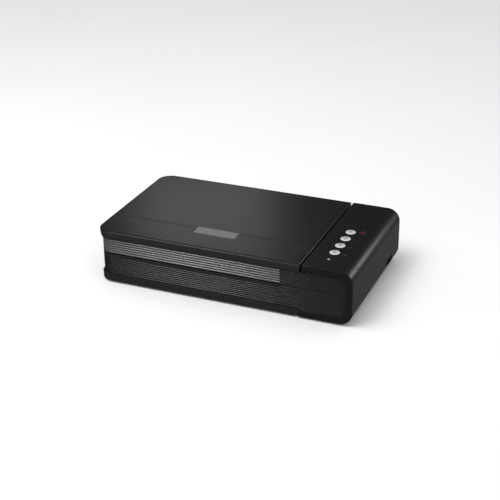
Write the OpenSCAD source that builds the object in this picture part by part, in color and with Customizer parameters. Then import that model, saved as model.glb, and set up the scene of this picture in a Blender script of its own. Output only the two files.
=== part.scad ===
// Book-edge flatbed scanner: hinged lid, ribbed walls, and a rounded housing for the buttons and electronics.
// Case coordinates run from the lid's left edge (x), the front edge (y) and the underside of the case (z).
// in_case() moves them to the part's own frame: the middle of the whole part, on the plane its feet stand on.

/* [Case] */
// Width across the lid and the control housing
case_w = 453; // [451:1:460]
// Depth of the lid and the control housing
case_d = 262; // [260:1:270]
// Height from the underside of the case to the top of the lid
case_h = 93.1; // [91:0.1:94]
// Plan radius of the two left corners
corner_r = 25; // [24:1:30]
// Thickness of the plastic shells
wall_t = 2.6; // [2:0.1:3]
// Height of the rubber feet
foot_h = 3; // [2:0.5:6]

/* [Lid] */
// Width of the lid
lid_w = 364.4; // [360:0.1:365]
// Height of the lid's skirt and top together
lid_t = 14; // [13.5:0.1:14.5]
// Thickness of the lid's skirt
skirt_t = 2.2; // [1.8:0.1:2.4]
// Radius round the lid's top edge
lid_edge_r = 2.8; // [1:0.1:3]
// Depth of the shallow channel across the lid
channel_t = 0.6; // [0.3:0.1:1]
// Thickness of the white foam mat
mat_t = 2.4; // [1.5:0.1:2.4]

/* [Walls] */
// Height of the base tray's flange
flange_h = 12.8; // [12:0.1:16]
// Radius round the tray's lower edge
tray_edge_r = 2; // [1.5:0.5:4]
// How far the tray's flange stands inside the lid's outline
flange_inset = 0.8; // [0:0.1:1.5]
// How far the ribbed walls stand inside the lid's outline
page_inset = 3.6; // [3.6:0.1:3.8]
// Depth of the grooves between ribs
rib_depth = 0.8; // [0.4:0.1:0.8]
// Pitch of the ribs on the dark wall
page_pitch = 3.5; // [3.2:0.1:5]
// Pitch of the ribs on the grey strip
strip_pitch = 4.2; // [4:0.1:4.4]
// Height at which the grey strip begins
strip_z = 51.8; // [48:0.1:55]
// Where the grey strip ends on the front
strip_end_x = 330; // [300:1:340]

/* [Control housing] */
// Left side of the control housing's top
spine_x = 367.4; // [367:0.1:368]
// Radius of its long top and bottom edges
spine_r = 22; // [20:1:24]
// Width of the smooth rim round its ends
rim_w = 11.5; // [11:0.5:14]
// Diameter of a button cap
button_d = 16.4; // [14:0.1:18]
// Distance between buttons
button_pitch = 27.2; // [24:0.1:28]

/* [Hinge] */
// How far the hinge sockets stand out behind the lid
hinge_reach = 13; // [13:1:16]
// Diameter of the hinge pins
hinge_pin_d = 4; // [3:0.5:5]

/* [Drive] */
// Diameter of the carriage's guide rod
rod_d = 8; // [6:1:8]

/* [Hidden] */

// A little more than a face, so that a cut passes through it
over = 1;
// Gap between parts that only lie beside each other
gap = 0.2;
// Segments of a large plan corner
big_fn = 96;
small_fn = 48;

// Heights inside the case
bed_z = case_h - lid_t - 0.7;
lid_z = case_h - lid_t;
floor_z = 2.5;
bay_floor_z = 5.4;
bay_floor_t = 2.4;
chassis_z = 5.6;
bed_t = 5;
bed_under_z = bed_z - bed_t;

// Plan of the case
wall_inset = 7;
bed_inset = wall_inset + gap;
tray_end_x = 362.2;
spine_foot_x = 362.5;
notch_x = 356;
notch_h = 3;
bulkhead_x = 359;
bulkhead_t = 2;
bay_end_x = case_w - spine_r + 2;
rim_depth = 3.4;
spine_bevel = 2.2;

// Glass and the window below it
glass_x = 22;
glass_w = 306;
glass_y = bed_inset + 2.4;
glass_d = 222;
glass_t = 3;
window_ledge = 2;

// Carriage, parked at its home on the right
carriage_x = 322.5;
carriage_w = 34;
carriage_y = 9.8;
carriage_d = 230;
carriage_z = 30;
carriage_h = 39;
carriage_t = 2;
slot_dx = 4;
slot_w = 7;
rod_y = 125;
rod_z = 22;
rod_clear = 0.05;
bush_r = 6;
block_half = 8;

// Belt drive
gear_module = 0.8;
pinion_teeth = 12;
gear_teeth = 40;
belt_y = 146;
belt_z = 13;
belt_h = 6;
belt_r = 6.37;
belt_t = 1.3;
barrel_r = 6.05;
gear_x = 384;
idler_x = 17;
axle_r = 1.5;
gear_r = gear_module * gear_teeth / 2;
pinion_r = gear_module * pinion_teeth / 2;
motor_x = gear_x + gear_r + pinion_r;
motor_r = 17.5;
gear_z = 21.5;
gear_t = 5;
bracket_z = 29;
bracket_t = 1.5;

// Boards
board_x = 379;
board_y = 176;
board_w = 46;
board_d = 77;
board_z = 16;
board_t = 1.6;
usb_x = 392;
usb_w = 12;
dc_x = 408;
dc_w = 9;
port_h = 11;
switch_board_z = case_h - 11.3;

// Buttons: cap centres run from the front one to the rear one
button_x = 402.3;
button_y = 61.1;
button_count = 4;
button_clear = 0.35;
button_rise = 1.2;
button_lip = 0.3;
lamp_x = 401;
lamp_y = 34.8;
lamp_r = 2.5;

// Pocket and rocker on the right side
pocket_y = 204;
pocket_z = 19;
pocket_w = 32;
pocket_h = 14;
pocket_depth = 9;
rocker_x = case_w - 11.5;
rocker_tilt = 8;

// Hinge axis, behind the lid's rear skirt
hinge_xs = [95, 270];
hinge_y = case_d + 6.5;
hinge_z = lid_z + 3.7;
knuckle_r = 5;
knuckle_half = 8;
leg_half = 12;
leg_t = 6;
leg_z = 28;
socket_half = 17;
socket_z = 16;
socket_top = 68;
ear_gap = 0.4;
ear_t = 5.6;

// Screw places: two left, two in the electronics bay
case_screw_points = [[12.5, 60], [12.5, 200], [370.5, 30], [370.5, 232]];
lid_screw_points = [[9.5, 60], [9.5, 202], [352, 20], [352, 242]];
foot_points = [[30, 30], [30, 232], [416, 30], [416, 232]];

black = "#1a1a1c";
dark = "#2a2a2d";
strip_grey = "#8b8883";
steel = "#b9bcc0";
brass_tone = "#b89a4e";
board_green = "#1f5a38";
white = "#e8e8e4";

// ---- Frames and shared shapes ----

module in_case() {
    translate([-case_w / 2, -(case_d + hinge_reach) / 2, foot_h]) children();
}

// A 2D shape drawn in x and z, extruded along y from y0 to y1
module along_y(y0, y1) {
    translate([0, y1, 0]) rotate([90, 0, 0]) linear_extrude(y1 - y0) children();
}

// A cylinder whose axis runs along x
module rod_x(x0, length, y, z, r) {
    translate([x0, y, z]) rotate([0, 90, 0]) cylinder(h = length, r = r, $fn = small_fn);
}

// Box given by its lowest and highest corners
module block(low, high) {
    translate(low) cube(high - low);
}

// Plan outline of the case with its two rounded left corners, inset all round and cut off at x = right
module outline(inset, right) {
    translate([corner_r, inset]) square([right - corner_r, case_d - 2 * inset]);
    translate([inset, corner_r]) square([corner_r - inset + over, case_d - 2 * corner_r]);
    for (y = [corner_r, case_d - corner_r])
        translate([corner_r, y]) circle(corner_r - inset, $fn = big_fn);
}

module outline_prism(inset, right, z0, z1) {
    translate([0, 0, z0]) linear_extrude(z1 - z0) outline(inset, right);
}

// Wall round the front, left and rear, open on its right
module outline_wall(outer, inner, right, z0, z1) {
    difference() {
        outline_prism(outer, right, z0, z1);
        outline_prism(inner, right + over, z0 - over, z1 + over);
    }
}

// Section of the control housing in x and z, rounded on its right, inset on three sides
module spine_section(inset, left) {
    centre_x = case_w - spine_r;
    translate([left, inset]) square([centre_x - left, case_h - 2 * inset]);
    translate([centre_x - over, spine_r]) square([spine_r - inset + over, case_h - 2 * spine_r]);
    for (z = [spine_r, case_h - spine_r])
        translate([centre_x, z]) circle(spine_r - inset, $fn = big_fn);
}

function involute_angle(base, r) = r <= base ? 0 : sqrt(pow(r / base, 2) - 1) * 180 / PI - acos(base / r);

// Half the angle that a tooth takes at radius r
function tooth_half_angle(teeth, base, pitch, r, slack) =
    90 / teeth + involute_angle(base, pitch) - involute_angle(base, max(r, base)) - slack;

function polar(r, angle) = [r * cos(angle), r * sin(angle)];

// Spur gear outline with involute flanks
module gear_outline(teeth, addendum, dedendum, slack) {
    pitch = gear_module * teeth / 2;
    base = pitch * cos(20);
    root = pitch - dedendum;
    tip = pitch + addendum;
    steps = 4;
    radii = [for (i = [0:steps]) root + (tip - root) * i / steps];
    polygon([
        for (k = [0:teeth - 1])
            for (side = [-1, 1])
                for (i = [0:steps])
                    let (r = radii[side < 0 ? i : steps - i])
                    polar(r, k * 360 / teeth + side * tooth_half_angle(teeth, base, pitch, r, slack))
    ]);
}

// Pan head screw pointing along +z, head below z = 0
module screw(length, shank_r = 1.4, head_r = 2.8, head_t = 1.8) {
    difference() {
        union() {
            translate([0, 0, -head_t]) cylinder(h = head_t, r = head_r, $fn = small_fn);
            cylinder(h = length, r = shank_r, $fn = small_fn);
        }
        for (turn = [0, 90])
            rotate([0, 0, turn]) translate([-head_r * 0.6, -0.4, -head_t - over])
                cube([head_r * 1.2, 0.8, over + head_t * 0.6]);
    }
}

// ---- Base ----

module base_tray() color(black) in_case() {
    step = tray_edge_r * 0.3;
    difference() {
        union() {
            difference() {
                hull() {
                    outline_prism(flange_inset, tray_end_x, tray_edge_r, flange_h);
                    outline_prism(flange_inset + step, tray_end_x, step, tray_edge_r);
                    outline_prism(flange_inset + tray_edge_r, tray_end_x, 0, step);
                }
                outline_prism(page_inset - gap, notch_x - 4, floor_z, flange_h + over);
                block([notch_x - 5, page_inset - gap, bay_floor_z],
                      [tray_end_x + over, case_d - page_inset + gap, flange_h + over]);
                block([notch_x, -over, -over], [tray_end_x + over, case_d + over, notch_h]);
            }
            block([notch_x - 5, bed_inset, bay_floor_z - bay_floor_t],
                  [bay_end_x, case_d - bed_inset, bay_floor_z]);
            for (i = [0:3])
                translate([case_screw_points[i][0], case_screw_points[i][1], i < 2 ? floor_z : notch_h])
                    cylinder(h = i < 2 ? 6 - floor_z : 6 - notch_h, r = 4, $fn = small_fn);
        }
        for (p = case_screw_points)
            translate([p[0], p[1], -over]) cylinder(h = 8, r = 1.55, $fn = small_fn);
        for (i = [0, 1])
            translate([case_screw_points[i][0], case_screw_points[i][1], -over])
                cylinder(h = over + 2, r = 3.2, $fn = small_fn);
    }
}

// Heights of the ribs on the dark wall, and on the grey strip
page_rib_zs = [for (z = [flange_h - 2.6:page_pitch:strip_z - 8]) z];
bay_rib_zs = [for (z = [flange_h - 2.6:page_pitch:case_h - rim_w - 1]) z];
rear_rib_x = corner_r + 6;
strip_rib_zs = [for (i = [0:5]) strip_z + 0.7 + i * strip_pitch];
rib_t = 1.9;

module page_wall() color(dark) in_case() {
    rib_back = page_inset + rib_depth + 0.4;
    bay_left = spine_x - 1.4;
    difference() {
        union() {
            outline_wall(page_inset + rib_depth, wall_inset, bay_left, chassis_z, bed_z);
            for (z = page_rib_zs)
                outline_wall(page_inset, rib_back, bay_left, z, z + rib_t);
            outline_wall(page_inset, rib_back, bay_left, strip_z - 7, strip_z);
            intersection() {
                union() {
                    for (y = [page_inset + rib_depth, case_d - wall_inset])
                        block([strip_end_x + 1, y, chassis_z],
                              [case_w, y + wall_inset - page_inset - rib_depth, case_h]);
                    for (z = bay_rib_zs)
                        for (run = [[strip_end_x + 1, page_inset], [rear_rib_x, case_d - rib_back]])
                            block([run[0], run[1], z], [case_w, run[1] + rib_depth + 0.4, z + rib_t]);
                }
                difference() {
                    along_y(0, case_d) spine_section(wall_t + 0.4, 0);
                    block([0, -over, bed_z], [spine_x, case_d + over, case_h + over]);
                    block([spine_x - gap, -over, bed_z - 0.4], [spine_x + wall_t + 0.4, case_d + over, case_h]);
                }
            }
        }
        // Seat of the grey strip, running to just round the rear left corner
        difference() {
            outline_wall(-over, page_inset + 1.8, strip_end_x + gap, strip_z - 0.7, case_h);
            block([corner_r + 5 + gap, case_d / 2, 0], [case_w, case_d + over, case_h]);
        }
        // Openings for the two rear sockets
        for (port = [[usb_x, usb_w], [dc_x, dc_w]])
            block([port[0] - 0.6, case_d - 12, board_z + board_t - gap],
                  [port[0] + port[1] + 0.6, case_d + over, board_z + board_t + port_h + 0.5]);
    }
}

module grey_strip() color(strip_grey) in_case() {
    back = page_inset + 1.6;
    difference() {
        union() {
            outline_wall(page_inset + rib_depth, back, strip_end_x, strip_z, bed_z);
            for (z = strip_rib_zs)
                outline_wall(page_inset, back, strip_end_x, z, z + rib_t);
            outline_wall(page_inset, back, strip_end_x, bed_z - 0.8, bed_z);
        }
        block([corner_r + 5, case_d / 2, 0], [case_w, case_d + over, case_h]);
    }
}

module bed_frame() color(black) in_case() {
    difference() {
        union() {
            outline_prism(bed_inset, spine_x - 0.5, bed_under_z, bed_z);
            block([spine_x - 2, bed_inset, bed_under_z], [spine_x + 7, case_d - bed_inset, bed_z - 0.6]);
            for (p = case_screw_points)
                translate([p[0], p[1], 6.2]) cylinder(h = bed_under_z - 5.2, r = 3.8, $fn = small_fn);
        }
        translate([glass_x - gap, glass_y - gap, bed_z - glass_t - 0.1])
            cube([glass_w + 2 * gap, glass_d + 2 * gap, glass_t + over]);
        translate([glass_x + window_ledge, glass_y + window_ledge, bed_under_z - over])
            cube([glass_w - 2 * window_ledge, glass_d - 2 * window_ledge, bed_t + over]);
        for (p = case_screw_points)
            translate([p[0], p[1], 5]) cylinder(h = 14, r = 1.45, $fn = small_fn);
    }
}

module scan_glass() color(white, 0.35) in_case() {
    translate([glass_x, glass_y, bed_z - glass_t]) cube([glass_w, glass_d, glass_t]);
}

module calibration_strip() color(white) in_case() {
    block([glass_x + glass_w - window_ledge + 1, glass_y + window_ledge, bed_under_z - 0.6],
          [glass_x + glass_w + 8, glass_y + glass_d - window_ledge, bed_under_z - 0.1]);
}

// ---- Control housing ----

module spine_shell() color(black) in_case() {
    difference() {
        union() {
            difference() {
                along_y(0, case_d) spine_section(0, spine_foot_x);
                along_y(-over, case_d + over) spine_section(wall_t, spine_foot_x - over);
            }
            for (y = [0, case_d - rim_depth])
                difference() {
                    along_y(y, y + rim_depth) spine_section(0, spine_foot_x);
                    along_y(y - over, y + rim_depth + over) spine_section(rim_w, spine_foot_x - over);
                }
            block([spine_x, 0, bed_z - 0.2], [spine_x + wall_t, case_d, case_h - 1]);
            for (y = [40, 152.5])
                for (x = [392.5, 429])
                    translate([x, y, switch_board_z + board_t + 0.1])
                        cylinder(h = case_h - 2 - switch_board_z - board_t, r = 2.4, $fn = small_fn);
        }
        block([0, -over, case_h / 2], [spine_x, case_d + over, case_h + over]);
        along_y(-over, case_d + over)
            polygon([[spine_x - over, case_h - spine_bevel - over], [spine_x - over, case_h + over],
                     [spine_x + spine_bevel + over, case_h + over]]);
        for (i = [0:button_count - 1])
            translate([button_x, button_y + i * button_pitch, case_h - wall_t - over])
                cylinder(h = wall_t + 2 * over, r = button_d / 2 + button_clear, $fn = small_fn);
        translate([lamp_x, lamp_y, case_h - wall_t - over])
            cylinder(h = wall_t + 2 * over, r = lamp_r + 0.1, $fn = small_fn);
        block([case_w - 8, pocket_y - pocket_w / 2 - 1.8, pocket_z - pocket_h / 2 - 1.8],
              [case_w + over, pocket_y + pocket_w / 2 + 1.8, pocket_z + pocket_h / 2 + 1.8]);
        for (i = [2, 3])
            translate([case_screw_points[i][0], case_screw_points[i][1], -over])
                cylinder(h = 5, r = 3.2, $fn = small_fn);
    }
}

module lamp_lens() color(white) in_case() {
    translate([lamp_x, lamp_y, 0]) {
        translate([0, 0, case_h - wall_t - 1]) cylinder(h = wall_t + 1.05, r = lamp_r, $fn = small_fn);
        translate([0, 0, switch_board_z + board_t + 0.8])
            cylinder(h = case_h - switch_board_z - board_t - wall_t - 1.8, r = 1.8, $fn = small_fn);
    }
}

module button_board() color(board_green) in_case() {
    translate([389, 27, switch_board_z]) cube([44, 129, board_t]);
}

module tact_switches() color("#3a3a3c") in_case() {
    base_z = switch_board_z + board_t;
    for (i = [0:button_count - 1])
        translate([button_x, button_y + i * button_pitch, base_z]) {
            translate([-3, -3, 0]) cube([6, 6, 2.6]);
            cylinder(h = 3.2, r = 1.7, $fn = small_fn);
        }
    translate([lamp_x - 1, lamp_y - 0.8, base_z]) cube([2, 1.6, 0.7]);
}

// Round cap: dome above the panel, retaining flange and stem below it
module scan_button(index) color("#d9dadc") in_case() {
    r = button_d / 2;
    dome_h = button_rise - button_lip;
    dome_r = (r * r + dome_h * dome_h) / (2 * dome_h);
    translate([button_x, button_y + index * button_pitch, 0]) {
        intersection() {
            translate([0, 0, case_h - wall_t - 1.6]) cylinder(h = 10, r = r, $fn = small_fn);
            translate([0, 0, case_h + button_rise - dome_r]) sphere(dome_r, $fn = big_fn);
        }
        translate([0, 0, case_h - wall_t - 1.6]) cylinder(h = 1.4, r = r + 1.1, $fn = small_fn);
        translate([0, 0, case_h - wall_t - 2.6]) cylinder(h = 1.5, r = 3, $fn = small_fn);
    }
}

module scan_button_1() { scan_button(0); }
module scan_button_2() { scan_button(1); }
module scan_button_3() { scan_button(2); }
module scan_button_4() { scan_button(3); }

module switch_bezel() color("#101012") in_case() {
    lip = 1.6;
    difference() {
        intersection() {
            block([case_w - pocket_depth, pocket_y - pocket_w / 2 - lip, pocket_z - pocket_h / 2 - lip],
                  [case_w, pocket_y + pocket_w / 2 + lip, pocket_z + pocket_h / 2 + lip]);
            along_y(0, case_d) spine_section(0.4, case_w / 2);
        }
        block([case_w - pocket_depth + lip, pocket_y - pocket_w / 2, pocket_z - pocket_h / 2],
              [case_w + over, pocket_y + pocket_w / 2, pocket_z + pocket_h / 2]);
        block([case_w - pocket_depth - over, pocket_y - 11.2, pocket_z - 6.6],
              [case_w, pocket_y + 11.2, pocket_z + 6.6]);
    }
}

module switch_body() color("#202022") in_case() {
    difference() {
        block([case_w - 25, pocket_y - 12.6, pocket_z - 8], [case_w - pocket_depth - 0.1, pocket_y + 12.6, pocket_z + 8]);
        block([case_w - 22, pocket_y - 11.2, pocket_z - 6.6], [case_w, pocket_y + 11.2, pocket_z + 6.6]);
        translate([rocker_x, pocket_y, pocket_z - 9]) cylinder(h = 18, r = 1.05, $fn = small_fn);
    }
}

module power_rocker() color("#232326") in_case() {
    translate([rocker_x, pocket_y, pocket_z]) rotate([0, 0, -rocker_tilt]) {
        translate([0, 0, -6.2]) linear_extrude(12.4)
            polygon([[-3.4, -8.6], [4.4, -10], [3, 0], [4.4, 10], [-3.4, 8.6]]);
        translate([0, 0, -7.4]) cylinder(h = 14.8, r = 1, $fn = small_fn);
    }
}

// ---- Electronics ----

board_hole_points = [[board_x + 4, board_y + 4], [board_x + board_w - 4, board_y + 4],
                     [board_x + 4, board_y + board_d - 4], [board_x + board_w - 4, board_y + board_d - 4]];

module main_board() color(board_green) in_case() {
    difference() {
        translate([board_x, board_y, board_z]) cube([board_w, board_d, board_t]);
        for (p = board_hole_points)
            translate([p[0], p[1], board_z - over]) cylinder(h = board_t + 2 * over, r = 1.6, $fn = small_fn);
    }
}

module board_chips() color("#161616") in_case() {
    top = board_z + board_t;
    translate([402, 198, top]) cube([18, 18, 2]);
    translate([402, 222, top]) cube([12, 8, 1.6]);
    translate([388, 226, top]) cube([8, 6, 2]);
    translate([380.4, 186, top]) cube([5, 24, 2.6]);
    for (y = [182, 191])
        translate([412, y, top]) cylinder(h = 10, r = 3.4, $fn = small_fn);
}

module board_standoffs() color(brass_tone) in_case() {
    for (p = board_hole_points)
        translate([p[0], p[1], bay_floor_z]) difference() {
            cylinder(h = board_z - bay_floor_z, r = 2.6, $fn = small_fn);
            translate([0, 0, 2]) cylinder(h = board_z, r = 1.45, $fn = small_fn);
        }
}

module board_screws() color(steel) in_case() {
    for (p = board_hole_points)
        translate([p[0], p[1], board_z + board_t]) mirror([0, 0, 1]) screw(6);
}

module usb_port() color(steel) in_case() {
    low = [usb_x, case_d - 20, board_z + board_t];
    difference() {
        translate(low) cube([usb_w, 15.6, port_h]);
        translate(low + [1.6, 3, 1.6]) cube([usb_w - 3.2, 15, port_h - 3.2]);
    }
    translate(low + [3.2, 2, 4]) cube([5.6, 6.4, 3]);
}

module dc_jack() color("#141414") in_case() {
    low = [dc_x, case_d - 18, board_z + board_t];
    centre = low + [dc_w / 2, 0, 6.2];
    difference() {
        translate(low) cube([dc_w, 13.6, port_h]);
        translate([centre[0], case_d - 14, centre[2]]) rotate([-90, 0, 0]) cylinder(h = 12, r = 3.1, $fn = small_fn);
    }
    translate([centre[0], case_d - 15, centre[2]]) rotate([-90, 0, 0]) cylinder(h = 8, r = 1, $fn = small_fn);
}

module bulkhead() color(dark) in_case() {
    difference() {
        block([bulkhead_x, bed_inset, bay_floor_z], [bulkhead_x + bulkhead_t, case_d - bed_inset, bed_under_z]);
        rod_x(bulkhead_x - over, bulkhead_t + 2 * over, rod_y, rod_z, rod_d / 2 + 0.3);
        block([bulkhead_x - over, belt_y - 10, 9], [bulkhead_x + bulkhead_t + over, belt_y + 10, 21]);
        block([bulkhead_x - over, 184, 5], [bulkhead_x + bulkhead_t + over, 212, 9]);
    }
}

// ---- Carriage drive ----

module motor() color(steel) in_case() {
    translate([motor_x, belt_y, bracket_z + bracket_t]) {
        cylinder(h = 21, r = motor_r, $fn = big_fn);
        difference() {
            translate([-5, -24, 0]) cube([10, 48, 1.2]);
            for (side = [-1, 1])
                translate([0, side * 21, -over]) cylinder(h = 4, r = 1.7, $fn = small_fn);
        }
        translate([0, 0, -bracket_t - 7.4]) cylinder(h = 12, r = 1, $fn = small_fn);
        translate([-6, motor_r - 4, 4]) cube([12, 8, 9]);
    }
}

module motor_bracket() color(steel) in_case() {
    near_y = belt_y - 27;
    far_y = belt_y + 25.5;
    difference() {
        union() {
            block([gear_x - 8, near_y, bracket_z], [motor_x + 20, far_y + bracket_t, bracket_z + bracket_t]);
            for (y = [near_y, far_y])
                block([gear_x - 8, y, bay_floor_z], [motor_x + 20, y + bracket_t, bracket_z + over]);
        }
        translate([gear_x, belt_y, bracket_z - over]) cylinder(h = 4, r = axle_r + 0.03, $fn = small_fn);
        translate([motor_x, belt_y, bracket_z - over]) cylinder(h = 4, r = pinion_r + 1.6, $fn = small_fn);
        for (side = [-1, 1])
            translate([motor_x, belt_y + side * 21, bracket_z - over]) cylinder(h = 4, r = 1.45, $fn = small_fn);
    }
}

module motor_screws() color(steel) in_case() {
    for (side = [-1, 1])
        translate([motor_x, belt_y + side * 21, bracket_z + bracket_t + 1.2]) mirror([0, 0, 1]) screw(5);
}

module gear_axle() color(steel) in_case() {
    translate([gear_x, belt_y, bay_floor_z]) cylinder(h = bracket_z + 3 - bay_floor_z, r = axle_r, $fn = small_fn);
    translate([gear_x, belt_y, bay_floor_z]) cylinder(h = 4.6, r = 3, $fn = small_fn);
}

module idler_axle() color(steel) in_case() {
    translate([idler_x, belt_y, 6]) cylinder(h = 16.4, r = axle_r, $fn = small_fn);
    translate([idler_x, belt_y, 21.6]) cylinder(h = 0.8, r = 2.6, $fn = small_fn);
}

// Flanged pulley between z0 and z1
module pulley(z0, z1) {
    translate([0, 0, z0]) cylinder(h = z1 - z0, r = barrel_r, $fn = big_fn);
    for (z = [z0, z1 - 1])
        translate([0, 0, z]) cylinder(h = 1, r = barrel_r + 2.4, $fn = big_fn);
}

module reduction_gear() color(white) in_case() {
    translate([gear_x, belt_y, 0]) difference() {
        union() {
            pulley(belt_z - 1.5, belt_z + belt_h + 1.5);
            translate([0, 0, belt_z + belt_h]) cylinder(h = gear_z - belt_z - belt_h + 1, r = 5, $fn = small_fn);
            translate([0, 0, gear_z]) linear_extrude(gear_t)
                gear_outline(gear_teeth, gear_module * 0.8, gear_module * 1.25, 0.25);
        }
        translate([0, 0, belt_z - 4]) cylinder(h = gear_z + gear_t, r = axle_r + rod_clear, $fn = small_fn);
        for (turn = [0:60:300])
            rotate([0, 0, turn]) translate([10.4, 0, gear_z - over]) cylinder(h = gear_t + 2 * over, r = 2.6, $fn = small_fn);
    }
}

module motor_pinion() color(brass_tone) in_case() {
    translate([motor_x, belt_y, gear_z - 0.5]) difference() {
        rotate([0, 0, 180 / pinion_teeth]) linear_extrude(gear_t + 1)
            gear_outline(pinion_teeth, gear_module * 0.85, gear_module * 1.25, 0.8);
        translate([0, 0, -over]) cylinder(h = gear_t + 4, r = 1 + rod_clear, $fn = small_fn);
    }
}

module idler_pulley() color(white) in_case() {
    translate([idler_x, belt_y, 0]) difference() {
        pulley(belt_z - 1.5, belt_z + belt_h + 1.5);
        translate([0, 0, belt_z - 4]) cylinder(h = belt_h + 12, r = axle_r + rod_clear, $fn = small_fn);
    }
}

module tension_block() color(dark) in_case() {
    difference() {
        union() {
            block([idler_x - 8, belt_y - 8, floor_z], [idler_x + 13, belt_y + 8, 8]);
            translate([idler_x, belt_y, 8]) cylinder(h = 3.2, r = 3, $fn = small_fn);
        }
        translate([idler_x, belt_y, 6]) cylinder(h = 8, r = axle_r + 0.03, $fn = small_fn);
        rod_x(idler_x + 9, 6, belt_y, 5.4, 2.4);
    }
    block([idler_x + 27, belt_y - 6, floor_z], [idler_x + 30, belt_y + 6, 9]);
}

// Round wire swept along a helix about x
module tension_spring() color(steel) in_case() {
    turns = 6;
    per_turn = 16;
    sides = 8;
    coil_r = 1.8;
    wire_r = 0.35;
    start_x = idler_x + 9.6;
    length = 16.8;
    rings = turns * per_turn;
    points = [
        for (i = [0:rings])
            let (a = i * 360 / per_turn)
            for (k = [0:sides - 1])
                let (b = k * 360 / sides, r = coil_r + wire_r * cos(b))
                [start_x + length * i / rings + wire_r * sin(b), belt_y + r * cos(a), 5.4 + r * sin(a)]
    ];
    side_faces = [
        for (i = [0:rings - 1])
            for (k = [0:sides - 1])
                let (n = (k + 1) % sides)
                [i * sides + k, i * sides + n, (i + 1) * sides + n, (i + 1) * sides + k]
    ];
    start_face = [for (k = [sides - 1:-1:0]) k];
    end_face = [for (k = [0:sides - 1]) rings * sides + k];
    polyhedron(points, concat([start_face], side_faces, [end_face]), convexity = 6);
}

// Loop round both pulleys
module belt_loop(r) {
    translate([idler_x, belt_y - r]) square([gear_x - idler_x, 2 * r]);
    for (x = [idler_x, gear_x])
        translate([x, belt_y]) circle(r, $fn = big_fn);
}

module drive_belt() color("#111111") in_case() {
    translate([0, 0, belt_z]) linear_extrude(belt_h) difference() {
        belt_loop(belt_r + belt_t - 0.5);
        belt_loop(belt_r);
    }
}

module guide_rod() color(steel) in_case() {
    rod_x(9.5, 358.5, rod_y, rod_z, rod_d / 2);
}

module rod_clips() color(dark) in_case() {
    for (c = [[9, floor_z], [bulkhead_x + bulkhead_t + 1, bay_floor_z]])
        difference() {
            block([c[0], rod_y - 7, c[1]], [c[0] + 6, rod_y + 7, rod_z + 5.5]);
            rod_x(c[0] - over, 8, rod_y, rod_z, rod_d / 2 + 0.03);
        }
}

module slide_rails() color(steel) in_case() {
    for (y = [14, 232])
        block([16, y, floor_z], [notch_x - 5 - gap, y + 3, carriage_z - 2.6]);
}

// ---- Carriage ----

module carriage_housing() color(black) in_case() {
    x1 = carriage_x + carriage_w;
    top = carriage_z + carriage_h;
    difference() {
        union() {
            block([carriage_x, carriage_y, carriage_z], [x1, carriage_y + carriage_d, top]);
            block([carriage_x, rod_y - block_half, rod_z - block_half], [x1, rod_y + block_half, carriage_z + over]);
        }
        block([carriage_x + carriage_t, carriage_y + carriage_t, carriage_z + carriage_t],
              [x1 - carriage_t, carriage_y + carriage_d - carriage_t, top - carriage_t]);
        block([carriage_x + slot_dx, carriage_y + 4, top - 4],
              [carriage_x + slot_dx + slot_w, carriage_y + carriage_d - 4, top + over]);
        rod_x(carriage_x - over, carriage_w + 2 * over, rod_y, rod_z, bush_r + 0.03);
    }
}

module lamp_bar() color(white) in_case() {
    top = carriage_z + carriage_h - carriage_t;
    low_x = carriage_x + slot_dx + slot_w + 0.4;
    along_y(carriage_y + 4, carriage_y + carriage_d - 4)
        polygon([[low_x, top - 0.2], [low_x, top - 3], [low_x + 3, top - 6.5], [low_x + 7, top - 6.5],
                 [low_x + 7, top - 0.2]]);
}

// Three long mirror strips that fold the light on its way down
module carriage_mirrors() color("#c9d2d8") in_case() {
    for (m = [[330, 38, 45, 10], [345, 50, -30, 9], [331, 60, 20, 4.6]])
        translate([m[0], 0, m[1]]) rotate([0, m[2], 0])
            translate([-m[3] / 2, carriage_y + 8, 0]) cube([m[3], carriage_d - 16, 1.2]);
}

module lens_barrel() color("#1c1c1e") in_case() {
    difference() {
        union() {
            rod_x(337.5, 11, rod_y, 40, 4.6);
            block([339, rod_y - 6, carriage_z + carriage_t], [347, rod_y + 6, 38]);
        }
        rod_x(337, 2, rod_y, 40, 3.4);
    }
}

module sensor_board() color(board_green) in_case() {
    translate([351.8, rod_y - 32, 34]) cube([board_t, 64, 26]);
    translate([350, rod_y - 20, 37]) cube([1.8, 40, 6]);
}

module rod_bushes() color(brass_tone) in_case() {
    for (x = [carriage_x, carriage_x + carriage_w - 9])
        difference() {
            rod_x(x, 9, rod_y, rod_z, bush_r);
            rod_x(x - over, 11, rod_y, rod_z, rod_d / 2 + rod_clear);
        }
}

module glide_pads() color(white) in_case() {
    for (y = [13, 231])
        block([carriage_x + 4, y, carriage_z - 2.3], [carriage_x + carriage_w - 4, y + 5, carriage_z]);
}

// Block that grips the rear run of the belt
module belt_clamp() color(dark) in_case() {
    run_y = belt_y + belt_r;
    difference() {
        block([carriage_x + 11, run_y - 3, belt_z - 2], [carriage_x + 23, run_y + 5, carriage_z]);
        block([carriage_x + 10, run_y - 0.4, belt_z - 0.4],
              [carriage_x + 24, run_y + belt_t - 0.1, belt_z + belt_h + 0.4]);
    }
}

// Flat cable: from the board, along the floor, round a bend and up to the carriage
ribbon_bend_r = 5.5;
ribbon_route = concat(
    [[382, 20.6], [376, 20.6], [372, 17], [368, 10], [363, 7.2], [355, 6.8], [345, 4.4], [330, 3.6], [250, 3.8], [175, 4.4]],
    [for (a = [15:15:165]) [168 - ribbon_bend_r * sin(a), 4.6 + ribbon_bend_r * (1 - cos(a))]],
    [[175, 15.8], [240, 17.6], [300, 23], [322, 28.4], [332, 29.6]]
);
ribbon_t = 0.4;

function ribbon_normal(i) =
    let (last = len(ribbon_route) - 1,
         d = ribbon_route[min(i + 1, last)] - ribbon_route[max(i - 1, 0)])
    [-d[1], d[0]] / norm(d);

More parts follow.
